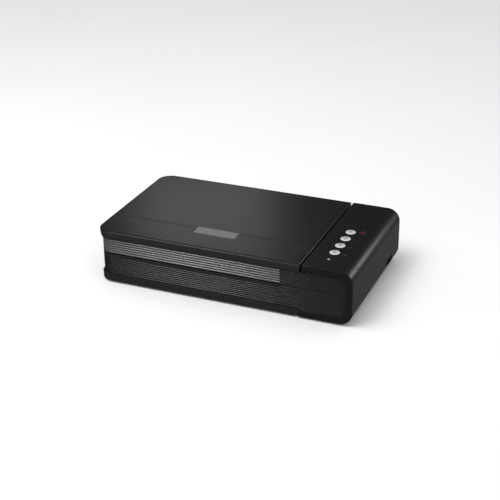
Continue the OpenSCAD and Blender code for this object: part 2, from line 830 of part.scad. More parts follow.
module ribbon_cable() color("#d8d4c8") in_case() {
    last = len(ribbon_route) - 1;
    along_y(186, 210) polygon(concat(
        [for (i = [0:last]) ribbon_route[i] + ribbon_normal(i) * ribbon_t / 2],
        [for (i = [last:-1:0]) ribbon_route[i] - ribbon_normal(i) * ribbon_t / 2]
    ));
}

// ---- Feet and screws ----

module rubber_feet() color("#0e0e0e") in_case() {
    for (p = foot_points)
        translate([p[0], p[1], -foot_h]) cylinder(h = foot_h, r = 8, $fn = small_fn);
}

module case_screws() color(steel) in_case() {
    for (i = [0:3])
        translate([case_screw_points[i][0], case_screw_points[i][1], i < 2 ? 2 : notch_h])
            screw(12, head_t = 1.6);
}

// ---- Lid and hinges ----

module hinge_sockets() color(black) in_case() {
    for (x = hinge_xs)
        difference() {
            block([x - socket_half, case_d - page_inset + 0.1, socket_z], [x + socket_half, case_d + hinge_reach, socket_top]);
            block([x - leg_half - 0.3, hinge_y - leg_t / 2 - 0.3, socket_z + 4],
                  [x + leg_half + 0.3, hinge_y + leg_t / 2 + 0.3, socket_top + over]);
        }
}

module hinge_posts() color(dark) in_case() {
    for (x = hinge_xs)
        difference() {
            union() {
                block([x - leg_half, hinge_y - leg_t / 2, leg_z], [x + leg_half, hinge_y + leg_t / 2, socket_top + 2]);
                block([x - knuckle_half, hinge_y - leg_t / 2, socket_top], [x + knuckle_half, hinge_y + leg_t / 2, hinge_z]);
                rod_x(x - knuckle_half, 2 * knuckle_half, hinge_y, hinge_z, knuckle_r);
            }
            rod_x(x - knuckle_half - over, 2 * (knuckle_half + over), hinge_y, hinge_z, hinge_pin_d / 2 + 0.01);
        }
}

module hinge_pins() color(steel) in_case() {
    half = knuckle_half + ear_gap + ear_t;
    for (x = hinge_xs)
        rod_x(x - half, 2 * half, hinge_y, hinge_z, hinge_pin_d / 2);
}

module lid_top_edge(inset, z0, z1) {
    translate([0, 0, z0]) linear_extrude(z1 - z0) outline(inset, lid_w - inset);
}

module lid_shell() color(black) in_case() {
    steps = 4;
    difference() {
        hull() {
            outline_prism(0, lid_w, lid_z, case_h - lid_edge_r);
            for (i = [1:steps])
                let (a = i * 90 / steps)
                lid_top_edge(lid_edge_r * (1 - cos(a)), lid_z + 1, case_h - lid_edge_r * (1 - sin(a)));
        }
        translate([0, 0, lid_z - over]) linear_extrude(lid_t - wall_t + over) outline(skirt_t, lid_w - skirt_t);
        block([38, 48, case_h - channel_t], [353, 72, case_h + over]);
    }
    for (x = hinge_xs)
        for (side = [-1, 1])
            translate([x + side * (knuckle_half + ear_gap + ear_t / 2) - ear_t / 2, 0, 0]) difference() {
                union() {
                    rod_x(0, ear_t, hinge_y, hinge_z, knuckle_r);
                    block([0, case_d - skirt_t, lid_z + 0.2], [ear_t, hinge_y, hinge_z + knuckle_r]);
                }
                rod_x(-over, ear_t + 2 * over, hinge_y, hinge_z, hinge_pin_d / 2 + rod_clear);
            }
}

module lid_inner() color(dark) in_case() {
    under = bed_z + 0.3 + mat_t;
    plate_t = 1.8;
    inset = skirt_t + 0.3;
    difference() {
        union() {
            translate([0, 0, under]) linear_extrude(plate_t) outline(inset, lid_w - inset);
            for (y = [60, 131, 202])
                block([12, y, under + 1], [352, y + 1.6, case_h - wall_t - 0.3]);
            for (x = [90, 180, 270])
                block([x, 12, under + 1], [x + 1.6, 250, case_h - wall_t - 0.3]);
        }
        for (p = lid_screw_points)
            translate([p[0], p[1], under - over]) cylinder(h = plate_t + 2 * over, r = 1.55, $fn = small_fn);
    }
}

module document_mat() color(white) in_case() {
    block([16, 9, bed_z + 0.3], [342, 244, bed_z + 0.3 + mat_t]);
}

module name_plate() color("#9a9a98") in_case() {
    translate([158.3, 48.9, case_h - channel_t]) cube([74.4, 22.2, channel_t - 0.1]);
}

module lid_bumpers() color("#0e0e0e") in_case() {
    for (p = [[9.5, 30], [9.5, 232], [352, 60], [352, 202]])
        translate([p[0], p[1], bed_z + 0.3]) cylinder(h = mat_t, r = 4, $fn = small_fn);
}

module lid_screws() color(steel) in_case() {
    for (p = lid_screw_points)
        translate([p[0], p[1], bed_z + 0.3 + mat_t]) screw(6, head_t = 1.6);
}

base_tray();
page_wall();
grey_strip();
bed_frame();
scan_glass();
calibration_strip();
spine_shell();
lamp_lens();
button_board();
tact_switches();
switch_bezel();
switch_body();
main_board();
board_chips();
board_standoffs();
board_screws();
usb_port();
dc_jack();
bulkhead();
motor();
motor_bracket();
motor_screws();
gear_axle();
idler_axle();
tension_block();
tension_spring();
drive_belt();
guide_rod();
rod_clips();
slide_rails();
rubber_feet();
case_screws();
hinge_sockets();
hinge_posts();
hinge_pins();
lid_shell();
lid_inner();
document_mat();
name_plate();
lid_bumpers();
lid_screws();
carriage_housing();
lamp_bar();
carriage_mirrors();
lens_barrel();
sensor_board();
rod_bushes();
glide_pads();
belt_clamp();
ribbon_cable();
motor_pinion();
reduction_gear();
idler_pulley();
scan_button_1();
scan_button_2();
scan_button_3();
scan_button_4();
power_rocker();
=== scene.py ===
"""Looks of a book-edge flatbed scanner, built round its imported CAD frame. Lengths are in metres."""

import math

import bmesh
import bpy
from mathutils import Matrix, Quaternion, Vector


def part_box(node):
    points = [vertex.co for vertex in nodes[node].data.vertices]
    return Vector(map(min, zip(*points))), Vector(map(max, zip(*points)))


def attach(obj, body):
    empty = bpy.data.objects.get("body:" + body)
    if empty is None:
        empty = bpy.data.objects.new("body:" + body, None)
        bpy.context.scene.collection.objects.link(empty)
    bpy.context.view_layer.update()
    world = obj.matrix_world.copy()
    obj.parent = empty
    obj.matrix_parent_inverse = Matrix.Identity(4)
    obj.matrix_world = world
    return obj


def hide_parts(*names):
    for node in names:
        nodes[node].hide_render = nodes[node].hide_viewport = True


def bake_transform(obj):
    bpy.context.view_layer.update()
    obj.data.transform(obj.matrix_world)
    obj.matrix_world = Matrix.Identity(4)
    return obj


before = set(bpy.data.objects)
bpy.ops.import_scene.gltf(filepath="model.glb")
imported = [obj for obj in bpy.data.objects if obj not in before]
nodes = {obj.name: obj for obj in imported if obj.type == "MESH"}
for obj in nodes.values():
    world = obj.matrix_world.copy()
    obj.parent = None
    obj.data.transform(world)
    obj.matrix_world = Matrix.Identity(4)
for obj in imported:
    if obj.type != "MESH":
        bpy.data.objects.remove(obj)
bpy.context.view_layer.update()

MM = 0.001
TAU = 2 * math.pi

# ---- Places taken from the frame ----

lid_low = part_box("lid_shell")[0]
spine_low, spine_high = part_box("spine_shell")


# ---- Materials ----

def link(tree, a, out, b, into):
    tree.links.new(a.outputs[out], b.inputs[into])


class Look:
    """A procedural material under construction: its node tree, shader and object coordinates."""

    def __init__(self, name, roughness=0.5, metallic=0.0, specular=0.5, coat=0.0):
        self.material = bpy.data.materials.new(name)
        self.material.use_nodes = True
        self.tree = self.material.node_tree
        self.shader = self.tree.nodes["Principled BSDF"]
        self.shader.inputs["Roughness"].default_value = roughness
        self.shader.inputs["Metallic"].default_value = metallic
        self.shader.inputs["Specular IOR Level"].default_value = specular
        self.shader.inputs["Coat Weight"].default_value = coat
        self.shader.inputs["Coat Roughness"].default_value = 0.1
        self.coords = self.tree.nodes.new("ShaderNodeTexCoord")
        self.height = None

    def node(self, kind, **values):
        made = self.tree.nodes.new(kind)
        for key, value in values.items():
            setattr(made, key, value)
        return made

    def stretched(self, scale):
        """Object coordinates scaled by a number for each axis."""
        mapping = self.node("ShaderNodeMapping")
        mapping.inputs["Scale"].default_value = scale
        link(self.tree, self.coords, "Object", mapping, "Vector")
        return mapping

    def noise(self, scale, detail=3.0, rough=0.55, stretch=(1, 1, 1)):
        """Noise output socket; scale is in cycles to a metre."""
        mapping = self.stretched(stretch)
        made = self.node("ShaderNodeTexNoise")
        made.inputs["Scale"].default_value = scale
        made.inputs["Detail"].default_value = detail
        made.inputs["Roughness"].default_value = rough
        link(self.tree, mapping, "Vector", made, "Vector")
        return made.outputs["Fac"]

    def ramp(self, factor, stops):
        """Colour or grey ramp through (position, colour) stops."""
        made = self.node("ShaderNodeValToRGB")
        elements = made.color_ramp.elements
        while len(elements) < len(stops):
            elements.new(0.5)
        for element, (position, colour) in zip(elements, stops):
            element.position = position
            element.color = (*colour, 1) if isinstance(colour, tuple) else (colour, colour, colour, 1)
        self.tree.links.new(factor, made.inputs["Fac"])
        return made.outputs["Color"]

    def math(self, operation, a, b):
        """Result socket of an operation on two values; each is a socket or a number."""
        made = self.node("ShaderNodeMath", operation=operation)
        for slot, value in zip(made.inputs, (a, b)):
            if isinstance(value, (int, float)):
                slot.default_value = value
            else:
                self.tree.links.new(value, slot)
        return made.outputs["Value"]

    def mix(self, factor, a, b):
        """Colour between a and b; each is a socket or a colour."""
        made = self.node("ShaderNodeMix", data_type="RGBA")
        colour_slots = [s for s in made.inputs if s.type == "RGBA"]
        for slot, value in zip([made.inputs["Factor"], *colour_slots], (factor, a, b)):
            if isinstance(value, tuple):
                slot.default_value = (*value, 1)
            elif isinstance(value, (int, float)):
                slot.default_value = value
            else:
                self.tree.links.new(value, slot)
        return [s for s in made.outputs if s.type == "RGBA"][0]

    def bump(self, factor, depth, strength=1.0):
        """Adds a bump of that depth in metres on top of the earlier ones."""
        made = self.node("ShaderNodeBump")
        made.inputs["Strength"].default_value = strength
        made.inputs["Distance"].default_value = depth
        self.tree.links.new(factor, made.inputs["Height"])
        if self.height is not None:
            self.tree.links.new(self.height, made.inputs["Normal"])
        self.height = made.outputs["Normal"]
        self.tree.links.new(self.height, self.shader.inputs["Normal"])

    def colour(self, socket):
        self.tree.links.new(socket, self.shader.inputs["Base Color"])

    def roughness(self, socket):
        self.tree.links.new(socket, self.shader.inputs["Roughness"])

    def radius(self):
        """Distance from the piece's upright middle line, as a share of its width."""
        middle = self.node("ShaderNodeVectorMath", operation="SUBTRACT")
        middle.inputs[1].default_value = (0.5, 0.5, 0.0)
        link(self.tree, self.coords, "Generated", middle, 0)
        flat = self.node("ShaderNodeVectorMath", operation="MULTIPLY")
        flat.inputs[1].default_value = (1, 1, 0)
        link(self.tree, middle, 0, flat, 0)
        length = self.node("ShaderNodeVectorMath", operation="LENGTH")
        link(self.tree, flat, 0, length, 0)
        return length.outputs["Value"]

    def coordinate(self, axis):
        """One object coordinate, axis X, Y or Z."""
        split = self.node("ShaderNodeSeparateXYZ")
        link(self.tree, self.coords, "Object", split, "Vector")
        return split.outputs[axis]


def scaled(colour, k):
    return tuple(c * k for c in colour)


def moulded(name, colour, roughness, grain=2600, grain_depth=0.02 * MM, mottle=0.1, specular=0.5, rub=0.05,
            low=None):
    """Moulded plastic with spark-eroded grain, faint mottling and handling marks.

    A piece with a tone attribute goes from the low colour where it is 0 to the main colour where it is 1; the
    low colour is painted shade, in rib grooves and on the lid's top.
    """
    look = Look(name, specular=specular)
    cloud = look.noise(14, detail=4)
    fine = look.noise(420, detail=4, rough=0.6)
    tone = look.ramp(cloud, [(0.3, scaled(colour, 1 - mottle)), (0.7, scaled(colour, 1 + mottle))])
    # Painted shade: where the tone attribute is low, the colour goes to the darker low colour.
    if low:
        level = look.node("ShaderNodeAttribute", attribute_name="tone").outputs["Fac"]
        tone = look.mix(level, low, tone)
    look.colour(tone)
    patches = look.noise(38, detail=5, rough=0.62)
    rubbed = look.ramp(patches, [(0.35, roughness - rub), (0.65, roughness + rub)])
    look.roughness(look.math("ADD", rubbed, look.math("MULTIPLY", look.math("SUBTRACT", fine, 0.5), 0.12)))
    look.bump(look.noise(grain, detail=2, rough=0.5), grain_depth)
    look.bump(fine, grain_depth * 0.9, 0.5)
    return look.material


def metal(name, colour, roughness, along=(1, 1, 1), scratch=900):
    """Metal with fine drawn lines; along stretches them, small on the axis that they run along."""
    look = Look(name, metallic=1.0)
    lines = look.noise(scratch, detail=4, rough=0.7, stretch=along)
    stains = look.noise(60, detail=3)
    look.colour(look.mix(stains, scaled(colour, 0.82), colour))
    look.roughness(look.ramp(lines, [(0.3, max(0.05, roughness - 0.1)), (0.7, roughness + 0.12)]))
    look.bump(lines, 0.004 * MM)
    return look.material


def make_materials():
    made = {}
    # The lid's low colour is painted shade: its top is painted darker than its rounded edge and skirt.
    made["lid"] = moulded("lid_satin", (0.0200, 0.0190, 0.0212), 0.36, grain=2100, grain_depth=0.008 * MM,
                          mottle=0.02, specular=0.42, rub=0.008, low=(0.0113, 0.0103, 0.0097))
    made["case"] = moulded("case_black", (0.0092, 0.0092, 0.0099), 0.38, grain=1900, grain_depth=0.016 * MM,
                           mottle=0.03, specular=0.26, rub=0.015)
    # The page and strip low colours are painted shade: the grooves between their ribs are painted darker.
    made["page"] = moulded("page_dark", (0.0178, 0.0174, 0.0187), 0.32, mottle=0.04, specular=0.4, rub=0.02,
                           low=(0.004, 0.004, 0.0042))
    made["strip"] = moulded("strip_grey", (0.124, 0.121, 0.120), 0.30, mottle=0.04, specular=0.8, rub=0.02,
                            low=(0.022, 0.0215, 0.0215))
    made["tray"] = moulded("tray_black", (0.0170, 0.0168, 0.0185), 0.36, grain=2100, grain_depth=0.012 * MM,
                           mottle=0.03, specular=0.35, rub=0.015)
    made["inner"] = moulded("inner_black", (0.014, 0.014, 0.0145), 0.6, grain=1500)
    made["white"] = moulded("white_plastic", (0.72, 0.72, 0.70), 0.42, grain=2200, grain_depth=0.008 * MM,
                            mottle=0.04)
    made["rubber"] = moulded("rubber_black", (0.012, 0.012, 0.012), 0.82, grain=1200, grain_depth=0.04 * MM,
                             specular=0.3)
    made["steel"] = metal("plated_steel", (0.56, 0.57, 0.58), 0.34)
    made["ground"] = metal("ground_steel", (0.66, 0.67, 0.68), 0.2, along=(0.04, 1, 1), scratch=2600)
    made["brass"] = metal("turned_brass", (0.66, 0.50, 0.24), 0.3, scratch=1600)
    made["silver"] = make_silver()
    made["glass"] = make_glass()
    made["mirror"] = make_mirror()
    made["board"] = make_board()
    made["ribbon"] = make_ribbon()
    made["mat"] = make_mat()
    made["plate"] = make_plate()
    made["lamp"] = make_lamp()
    made["mark_grey"] = moulded("print_grey", (0.075, 0.075, 0.078), 0.6, grain_depth=0.004 * MM)
    made["mark_red"] = moulded("print_red", (0.075, 0.011, 0.013), 0.6, grain_depth=0.004 * MM)
    return made


def make_silver():
    """Satin silver lacquer on a moulded cap, with a painted dark reflection in its middle."""
    look = Look("button_silver", metallic=0.3, specular=0.6)
    flake = look.noise(5200, detail=1)
    rim = look.ramp(flake, [(0.3, (0.80, 0.81, 0.83)), (0.7, (0.92, 0.93, 0.95))])
    # Painted reflection: the middle of the cap is painted a darker grey than its rim.
    painted_dark_middle = look.ramp(flake, [(0.3, (0.42, 0.42, 0.43)), (0.7, (0.50, 0.50, 0.51))])
    look.colour(look.mix(look.ramp(look.radius(), [(0.16, (0, 0, 0)), (0.34, (1, 1, 1))]), painted_dark_middle, rim))
    look.roughness(look.ramp(look.noise(260, detail=4), [(0.3, 0.20), (0.7, 0.27)]))
    look.bump(flake, 0.003 * MM)
    return look.material


def make_glass():
    """Clear float glass with a little dust."""
    look = Look("float_glass", roughness=0.02)
    look.shader.inputs["Transmission Weight"].default_value = 1.0
    look.shader.inputs["IOR"].default_value = 1.5
    look.colour(look.ramp(look.noise(9, detail=2), [(0.3, (0.93, 0.97, 0.95)), (0.7, (0.96, 0.985, 0.975))]))
    look.roughness(look.ramp(look.noise(700, detail=5, rough=0.7), [(0.62, 0.012), (0.8, 0.10)]))
    return look.material


def make_mirror():
    look = Look("silvered_glass", metallic=1.0)
    look.colour(look.ramp(look.noise(40), [(0.3, (0.80, 0.83, 0.85)), (0.7, (0.86, 0.88, 0.9))]))
    look.roughness(look.ramp(look.noise(900, detail=4), [(0.5, 0.02), (0.75, 0.09)]))
    return look.material


def make_board():
    """Green solder mask over copper tracks."""
    look = Look("circuit_board", specular=0.6)
    tracks = look.node("ShaderNodeTexBrick")
    tracks.inputs["Scale"].default_value = 150
    tracks.inputs["Mortar Size"].default_value = 0.06
    tracks.inputs["Color1"].default_value = (0.012, 0.085, 0.036, 1)
    tracks.inputs["Color2"].default_value = (0.016, 0.105, 0.045, 1)
    tracks.inputs["Mortar"].default_value = (0.03, 0.17, 0.07, 1)
    link(look.tree, look.coords, "Object", tracks, "Vector")
    dots = look.node("ShaderNodeTexVoronoi")
    dots.inputs["Scale"].default_value = 420
    link(look.tree, look.coords, "Object", dots, "Vector")
    pads = look.ramp(dots.outputs["Distance"], [(0.11, 1.0), (0.14, 0.0)])
    look.colour(look.mix(pads, tracks.outputs["Color"], (0.50, 0.46, 0.38)))
    look.roughness(look.ramp(look.noise(300), [(0.3, 0.28), (0.7, 0.4)]))
    look.bump(tracks.outputs["Fac"], 0.03 * MM, 0.6)
    return look.material


def make_ribbon():
    """Flat cable: pale film with a conductor under each line."""
    look = Look("flat_cable", specular=0.5)
    across = look.coordinate("Y")
    line = look.math("FRACT", look.math("MULTIPLY", across, 1000.0), 0.0)
    stripe = look.ramp(line, [(0.0, 0.0), (0.3, 0.0), (0.4, 1.0), (0.8, 1.0)])
    look.colour(look.mix(stripe, (0.62, 0.60, 0.53), (0.46, 0.45, 0.42)))
    look.roughness(look.ramp(look.noise(400), [(0.3, 0.3), (0.7, 0.42)]))
    look.bump(stripe, 0.05 * MM)
    return look.material


def make_mat():
    """White film over foam: soft leathery emboss with faint scuffs."""
    look = Look("mat_film", specular=0.35)
    cells = look.node("ShaderNodeTexVoronoi")
    cells.inputs["Scale"].default_value = 900
    link(look.tree, look.coords, "Object", cells, "Vector")
    wear = look.noise(22, detail=5, rough=0.65)
    look.colour(look.ramp(wear, [(0.35, (0.795, 0.792, 0.778)), (0.6, (0.83, 0.83, 0.817))]))
    look.roughness(look.ramp(look.noise(240, detail=4), [(0.3, 0.48), (0.7, 0.6)]))
    look.bump(cells.outputs["Distance"], 0.05 * MM, 0.7)
    look.bump(wear, 0.4 * MM, 0.08)
    return look.material


def make_plate():
    """Brushed grey plate, lines along its length."""
    look = Look("plate_grey", metallic=0.25, specular=0.5)
    lines = look.noise(2400, detail=4, rough=0.75, stretch=(0.02, 1, 1))
    look.colour(look.ramp(lines, [(0.3, (0.135, 0.134, 0.132)), (0.7, (0.185, 0.184, 0.181))]))
    look.roughness(look.ramp(lines, [(0.3, 0.36), (0.7, 0.5)]))
    look.bump(lines, 0.006 * MM)
    return look.material


def make_lamp():
    """Milky diffuser."""
    look = Look("lamp_milky", specular=0.6, coat=0.3)
    look.colour(look.ramp(look.noise(900), [(0.3, (0.34, 0.36, 0.38)), (0.7, (0.42, 0.44, 0.46))]))
    look.roughness(look.ramp(look.noise(500), [(0.3, 0.22), (0.7, 0.34)]))
    return look.material


looks = make_materials()


# ---- Drawing in case coordinates ----
# Pieces are drawn in millimetres from the case's front left bottom corner; add_piece moves them to the frame.

case_origin = Vector((lid_low.x, spine_low.y, spine_low.z))


def case_box(name):
    low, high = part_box(name)
    return (low - case_origin) / MM, (high - case_origin) / MM


def case_middle(name):
    low, high = case_box(name)
    return (low.x + high.x) / 2, (low.y + high.y) / 2


CASE_W, CASE_D, CASE_H = (spine_high - case_origin) / MM
LID_W = case_box("lid_shell")[1].x
LID_Z = case_box("lid_shell")[0].z
BED_Z = case_box("bed_frame")[1].z
FLANGE_Z = case_box("base_tray")[1].z
WALL_INSET = case_box("page_wall")[0].y
STRIP_LOW, STRIP_HIGH = case_box("grey_strip")
PLATE_LOW, PLATE_HIGH = case_box("name_plate")
SPINE_X = case_box("button_board")[0].x - 21.6  # left edge of the housing's top
FOOT_X = case_box("spine_shell")[0].x  # left edge of the housing's underside
SHELL_T = 2.6
CORNER_R = 25.0
SPINE_R = 22.0
FEET_X = (30.0, 416.0)
FEET_Y = (30.0, 232.0)


def add_piece(name, verts, faces, look, body, replaces=(), slot=None, sharp=35):
    """Makes a mesh piece from points in case millimetres, welded, with its faces out, riding on a body."""
    mesh = bpy.data.meshes.new(name)
    mesh.from_pydata([case_origin + Vector(v) * MM for v in verts], [], faces)
    bm = bmesh.new()
    bm.from_mesh(mesh)
    bmesh.ops.remove_doubles(bm, verts=bm.verts, dist=0.001 * MM)
    bmesh.ops.dissolve_degenerate(bm, edges=bm.edges, dist=0.001 * MM)
    bmesh.ops.recalc_face_normals(bm, faces=bm.faces)
    bm.to_mesh(mesh)
    bm.free()
    mesh.shade_smooth()
    mesh.set_sharp_from_angle(angle=math.radians(sharp))
    mesh.materials.append(looks[look])
    made = bpy.data.objects.new(name, mesh)
    bpy.context.scene.collection.objects.link(made)
    if body:
        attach(made, body)
    if replaces:
        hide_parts(*replaces)
    return made


def loft(rings, closed_rings=True, closed_loft=False):
    """Points and quads through rings of equal length; an open loft is capped at its first and last ring."""
    count = len(rings[0])
    verts = [p for ring in rings for p in ring]
    faces = []
    last = len(rings) if closed_loft else len(rings) - 1
    for i in range(last):
        a, b = i * count, (i + 1) % len(rings) * count
        for k in range(count if closed_rings else count - 1):
            n = (k + 1) % count
            faces.append((a + k, a + n, b + n, b + k))
    if not closed_loft:
        faces.append(tuple(range(count)))
        faces.append(tuple((len(rings) - 1) * count + k for k in range(count)))
    return verts, faces


def cut(piece, cutters):
    """Subtracts closed meshes, given as (points, faces) in case millimetres, from the piece for good."""
    helpers = []
    for i, (verts, faces) in enumerate(cutters):
        helper = add_piece(f"cutter_{i}", verts, faces, "inner", None)
        step = piece.modifiers.new(f"cut_{i}", "BOOLEAN")
        step.operation = "DIFFERENCE"
        step.solver = "EXACT"
        step.object = helper
        helpers.append(helper)
    bpy.context.view_layer.update()
    evaluated = piece.evaluated_get(bpy.context.evaluated_depsgraph_get())
    mesh = bpy.data.meshes.new_from_object(evaluated)
    piece.modifiers.clear()
    piece.data = mesh
    for helper in helpers:
        bpy.data.objects.remove(helper)


def soften(piece, width, angle=35):
    """Welds a mesh, rounds its sharp edges and gives it smooth, face-weighted normals."""
    weld = piece.modifiers.new("weld", "WELD")
    weld.merge_threshold = 0.002 * MM
    bevel = piece.modifiers.new("edges", "BEVEL")
    bevel.width = width
    bevel.segments = 2
    bevel.limit_method = "ANGLE"
    bevel.angle_limit = math.radians(angle)
    bevel.use_clamp_overlap = False
    normals = piece.modifiers.new("normals", "WEIGHTED_NORMAL")
    normals.keep_sharp = False
    normals.weight = 60


def circle(centre, radius, count):
    return [(centre[0] + radius * math.cos(TAU * k / count), centre[1] + radius * math.sin(TAU * k / count))
            for k in range(count)]


def lathe(centre, profile, count=48):
    """Solid of revolution about an upright axis through (radius, z) points."""
    return loft([[(x, y, z) for x, y in circle(centre, r, count)] for r, z in profile])


def round_cutter(centre, radius, z0, z1, count=64):
    return lathe(centre, [(radius, z0), (radius, z1)], count)


def rounded_rect(low, high, radius, steps=6):
    """Corner-rounded rectangle in two axes, as a closed list of points."""
    points = []
    for cx, cy, start in ((high[0] - radius, high[1] - radius, 0), (low[0] + radius, high[1] - radius, 90),
                          (low[0] + radius, low[1] + radius, 180), (high[0] - radius, low[1] + radius, 270)):
        for k in range(steps + 1):
            a = math.radians(start + 90 * k / steps)
            points.append((cx + radius * math.cos(a), cy + radius * math.sin(a)))
    return points


def quarter(radius):
    """An edge's rounding in equal steps: (how far in from the side, how far down from the top)."""
    return [(radius * (1 - math.sin(math.radians(a))), radius * (1 - math.cos(math.radians(a))))
            for a in range(0, 91, 15)]


def grid_faces(rows, columns):
    """Quads of a grid whose points are listed row by row."""
    return [(r * columns + c, r * columns + c + 1, (r + 1) * columns + c + 1, (r + 1) * columns + c)
            for r in range(rows - 1) for c in range(columns - 1)]


def grid_border(rows, columns):
    """Numbers of the grid's border points, once round."""
    last = (rows - 1) * columns
    return ([*range(columns)] + [r * columns + columns - 1 for r in range(1, rows)]
            + [last + c for c in range(columns - 2, -1, -1)] + [r * columns for r in range(rows - 2, 0, -1)])


def band_faces(ring, other):
    """Quads between two closed rings of as many points."""
    return [(ring[k - 1], ring[k], other[k], other[k - 1]) for k in range(len(ring))]


def join_parts(parts):
    """One list of points and faces from several."""
    verts, faces = [], []
    for part_verts, part_faces in parts:
        base = len(verts)
        verts += part_verts
        faces += [tuple(base + i for i in f) for f in part_faces]
    return verts, faces


def spread(a, b, step):
    """Numbers from a to b, about step apart, both ends included."""
    count = max(1, round(abs(b - a) / step))
    return [a + (b - a) * k / count for k in range(count + 1)]


def smooth(edge0, edge1, x):
    t = min(1.0, max(0.0, (x - edge0) / (edge1 - edge0)))
    return t * t * (3 - 2 * t)


# ---- Lid ----

LID_EDGE = 2.8
LID_SKIRT = 2.2
LID_UNDERCUT = 1.5
# Crown, shallow channel across the front and name plate's seat: depths, and where each starts and ends
CROWN = 0.28
CHANNEL_T = 0.45
CHANNEL_X = (32.0, 357.0)
CHANNEL_FADE = 26.0
CHANNEL_FRONT = (47.65, 48.3)
CHANNEL_REAR = (63.0, 73.0)
SEAT_T = 0.62
SEAT_GAP_X = 0.5
SEAT_GAP_Y = 0.45
SEAT_WALL = 0.3
CORNER_STEPS = 12


def lid_lines():
    """Grid lines of the lid's top: shares of its corners from 1 at the rim, then x and y between corners."""
    share = [1 - k / CORNER_STEPS for k in range(CORNER_STEPS)]
    fade_left = CHANNEL_X[0] + CHANNEL_FADE
    fade_right = CHANNEL_X[1] - CHANNEL_FADE
    xs = {*spread(fade_left, fade_right, 12), *spread(CORNER_R, fade_left, 2),
          *spread(fade_right, LID_W - 6, 2),
          *(PLATE_LOW.x - SEAT_GAP_X - d for d in (0, SEAT_WALL)),
          *(PLATE_HIGH.x + SEAT_GAP_X + d for d in (0, SEAT_WALL))}
    ys = {*spread(CORNER_R, CASE_D - CORNER_R, 12), *spread(*CHANNEL_REAR, 1.6),
          *(CHANNEL_FRONT[0] + d for d in (-1.85, -0.55, 0, 0.35, 0.65, 1.2, 2.55)),
          *(PLATE_HIGH.y + SEAT_GAP_Y + d for d in (0, SEAT_WALL))}
    return share, sorted(xs), sorted(ys)


def corner_point(u, v, inset):
    """A square corner bent into a quarter disc: u and v run from 0 at the arc's centre to 1 at its rim."""
    angle = math.radians(45 * v / u if u >= v else 90 - 45 * u / v)
    radius = (CORNER_R - inset) * max(u, v)
    return radius * math.cos(angle), radius * math.sin(angle)


def lid_plan(inset):
    """Grid of (x, y) inside the lid's outline, inset all round: rows front to rear, columns left to right."""
    share, xs, ys = lid_lines()
    columns = [(u, CORNER_R) for u in share] + [(0, x) for x in [*xs, LID_W - inset]]
    front = [(v, CORNER_R) for v in share]
    rear = [(-v, CASE_D - CORNER_R) for v in reversed(share)]
    rows = front + [(0, y) for y in ys] + rear
    grid = []
    for v, y in rows:
        line = []
        for u, x in columns:
            if u:
                dx, dy = corner_point(u, abs(v), inset)
                px = CORNER_R - dx
                py = y - math.copysign(dy, v) if v else y
            else:
                px = x
                py = y - math.copysign((CORNER_R - inset) * abs(v), v) if v else y
            line.append((px, py))
        grid.append(line)
    return grid


def lid_height(x, y):
    """How far the top lies below its highest plane: crown, channel and the name plate's seat."""
    crown = CROWN * ((x / LID_W - 0.5) ** 2 + (y / CASE_D - 0.5) ** 2)
    along = smooth(CHANNEL_X[0], CHANNEL_X[0] + CHANNEL_FADE, x)
    along *= 1 - smooth(CHANNEL_X[1] - CHANNEL_FADE, CHANNEL_X[1], x)
    front = smooth(*CHANNEL_FRONT, y)
    channel = along * front * (1 - smooth(*CHANNEL_REAR, y))
    seat_left, seat_right = PLATE_LOW.x - SEAT_GAP_X, PLATE_HIGH.x + SEAT_GAP_X
    seat_rear = PLATE_HIGH.y + SEAT_GAP_Y
    seat = front * (1 - smooth(seat_rear, seat_rear + SEAT_WALL, y))
    seat *= smooth(seat_left - SEAT_WALL, seat_left, x) * (1 - smooth(seat_right, seat_right + SEAT_WALL, x))
    return crown + max(CHANNEL_T * channel, SEAT_T * seat)


def make_lid_cover():
    """The lid's top with its rounded edge, and its skirt, which turns in below the edge."""
    grid = lid_plan(LID_EDGE)
    rows, columns = len(grid), len(grid[0])
    top = sum(grid, [])
    border = grid_border(rows, columns)
    lip = 0.5
    soft = 0.2
    turn = CASE_H - LID_EDGE - 1.4
    foot = LID_Z + 0.3
    profile = [(inset, CASE_H - drop) for inset, drop in quarter(LID_EDGE)[1:]]
    profile += [(LID_UNDERCUT * share ** 1.5, turn + (foot - turn) * share)
                for share in (0, 0.25, 0.5, 0.75, 1)]
    profile += [(LID_UNDERCUT + soft, LID_Z), (LID_SKIRT - soft, LID_Z), (LID_SKIRT, LID_Z + lip),
                (LID_SKIRT, CASE_H - SHELL_T)]
    verts = [(x, y, CASE_H - lid_height(x, y)) for x, y in top]
    faces = grid_faces(rows, columns)
    ring = border
    for inset, z in profile:
        plan = sum(lid_plan(inset), [])
        share = (z - LID_Z) / (CASE_H - LID_Z)
        verts += [(*plan[i], z - lid_height(*top[i]) * share) for i in border]
        new_ring = range(len(verts) - len(border), len(verts))
        faces += band_faces(ring, new_ring)
        ring = new_ring
    index = dict(zip(border, ring))
    for i, (x, y) in enumerate(sum(lid_plan(LID_SKIRT), [])):
        if i not in index:
            index[i] = len(verts)
            verts.append((x, y, CASE_H - SHELL_T))
    faces += [tuple(index[i] for i in reversed(face)) for face in grid_faces(rows, columns)]
    lid = add_piece("lid_cover", verts, faces, "lid", "lid", ["lid_shell"], "case_black", sharp=30)
    # Painted shade: tone 0 paints the top in the darker low colour, 1 paints the edge and skirt in the
    # lighter main colour.
    levels = lid.data.attributes.new("tone", "FLOAT", "POINT")
    for point, level in zip(lid.data.vertices, levels.data):
        drop = CASE_H - ((point.co - case_origin) / MM).z
        level.value = smooth(0.3 * LID_EDGE, LID_EDGE, drop)


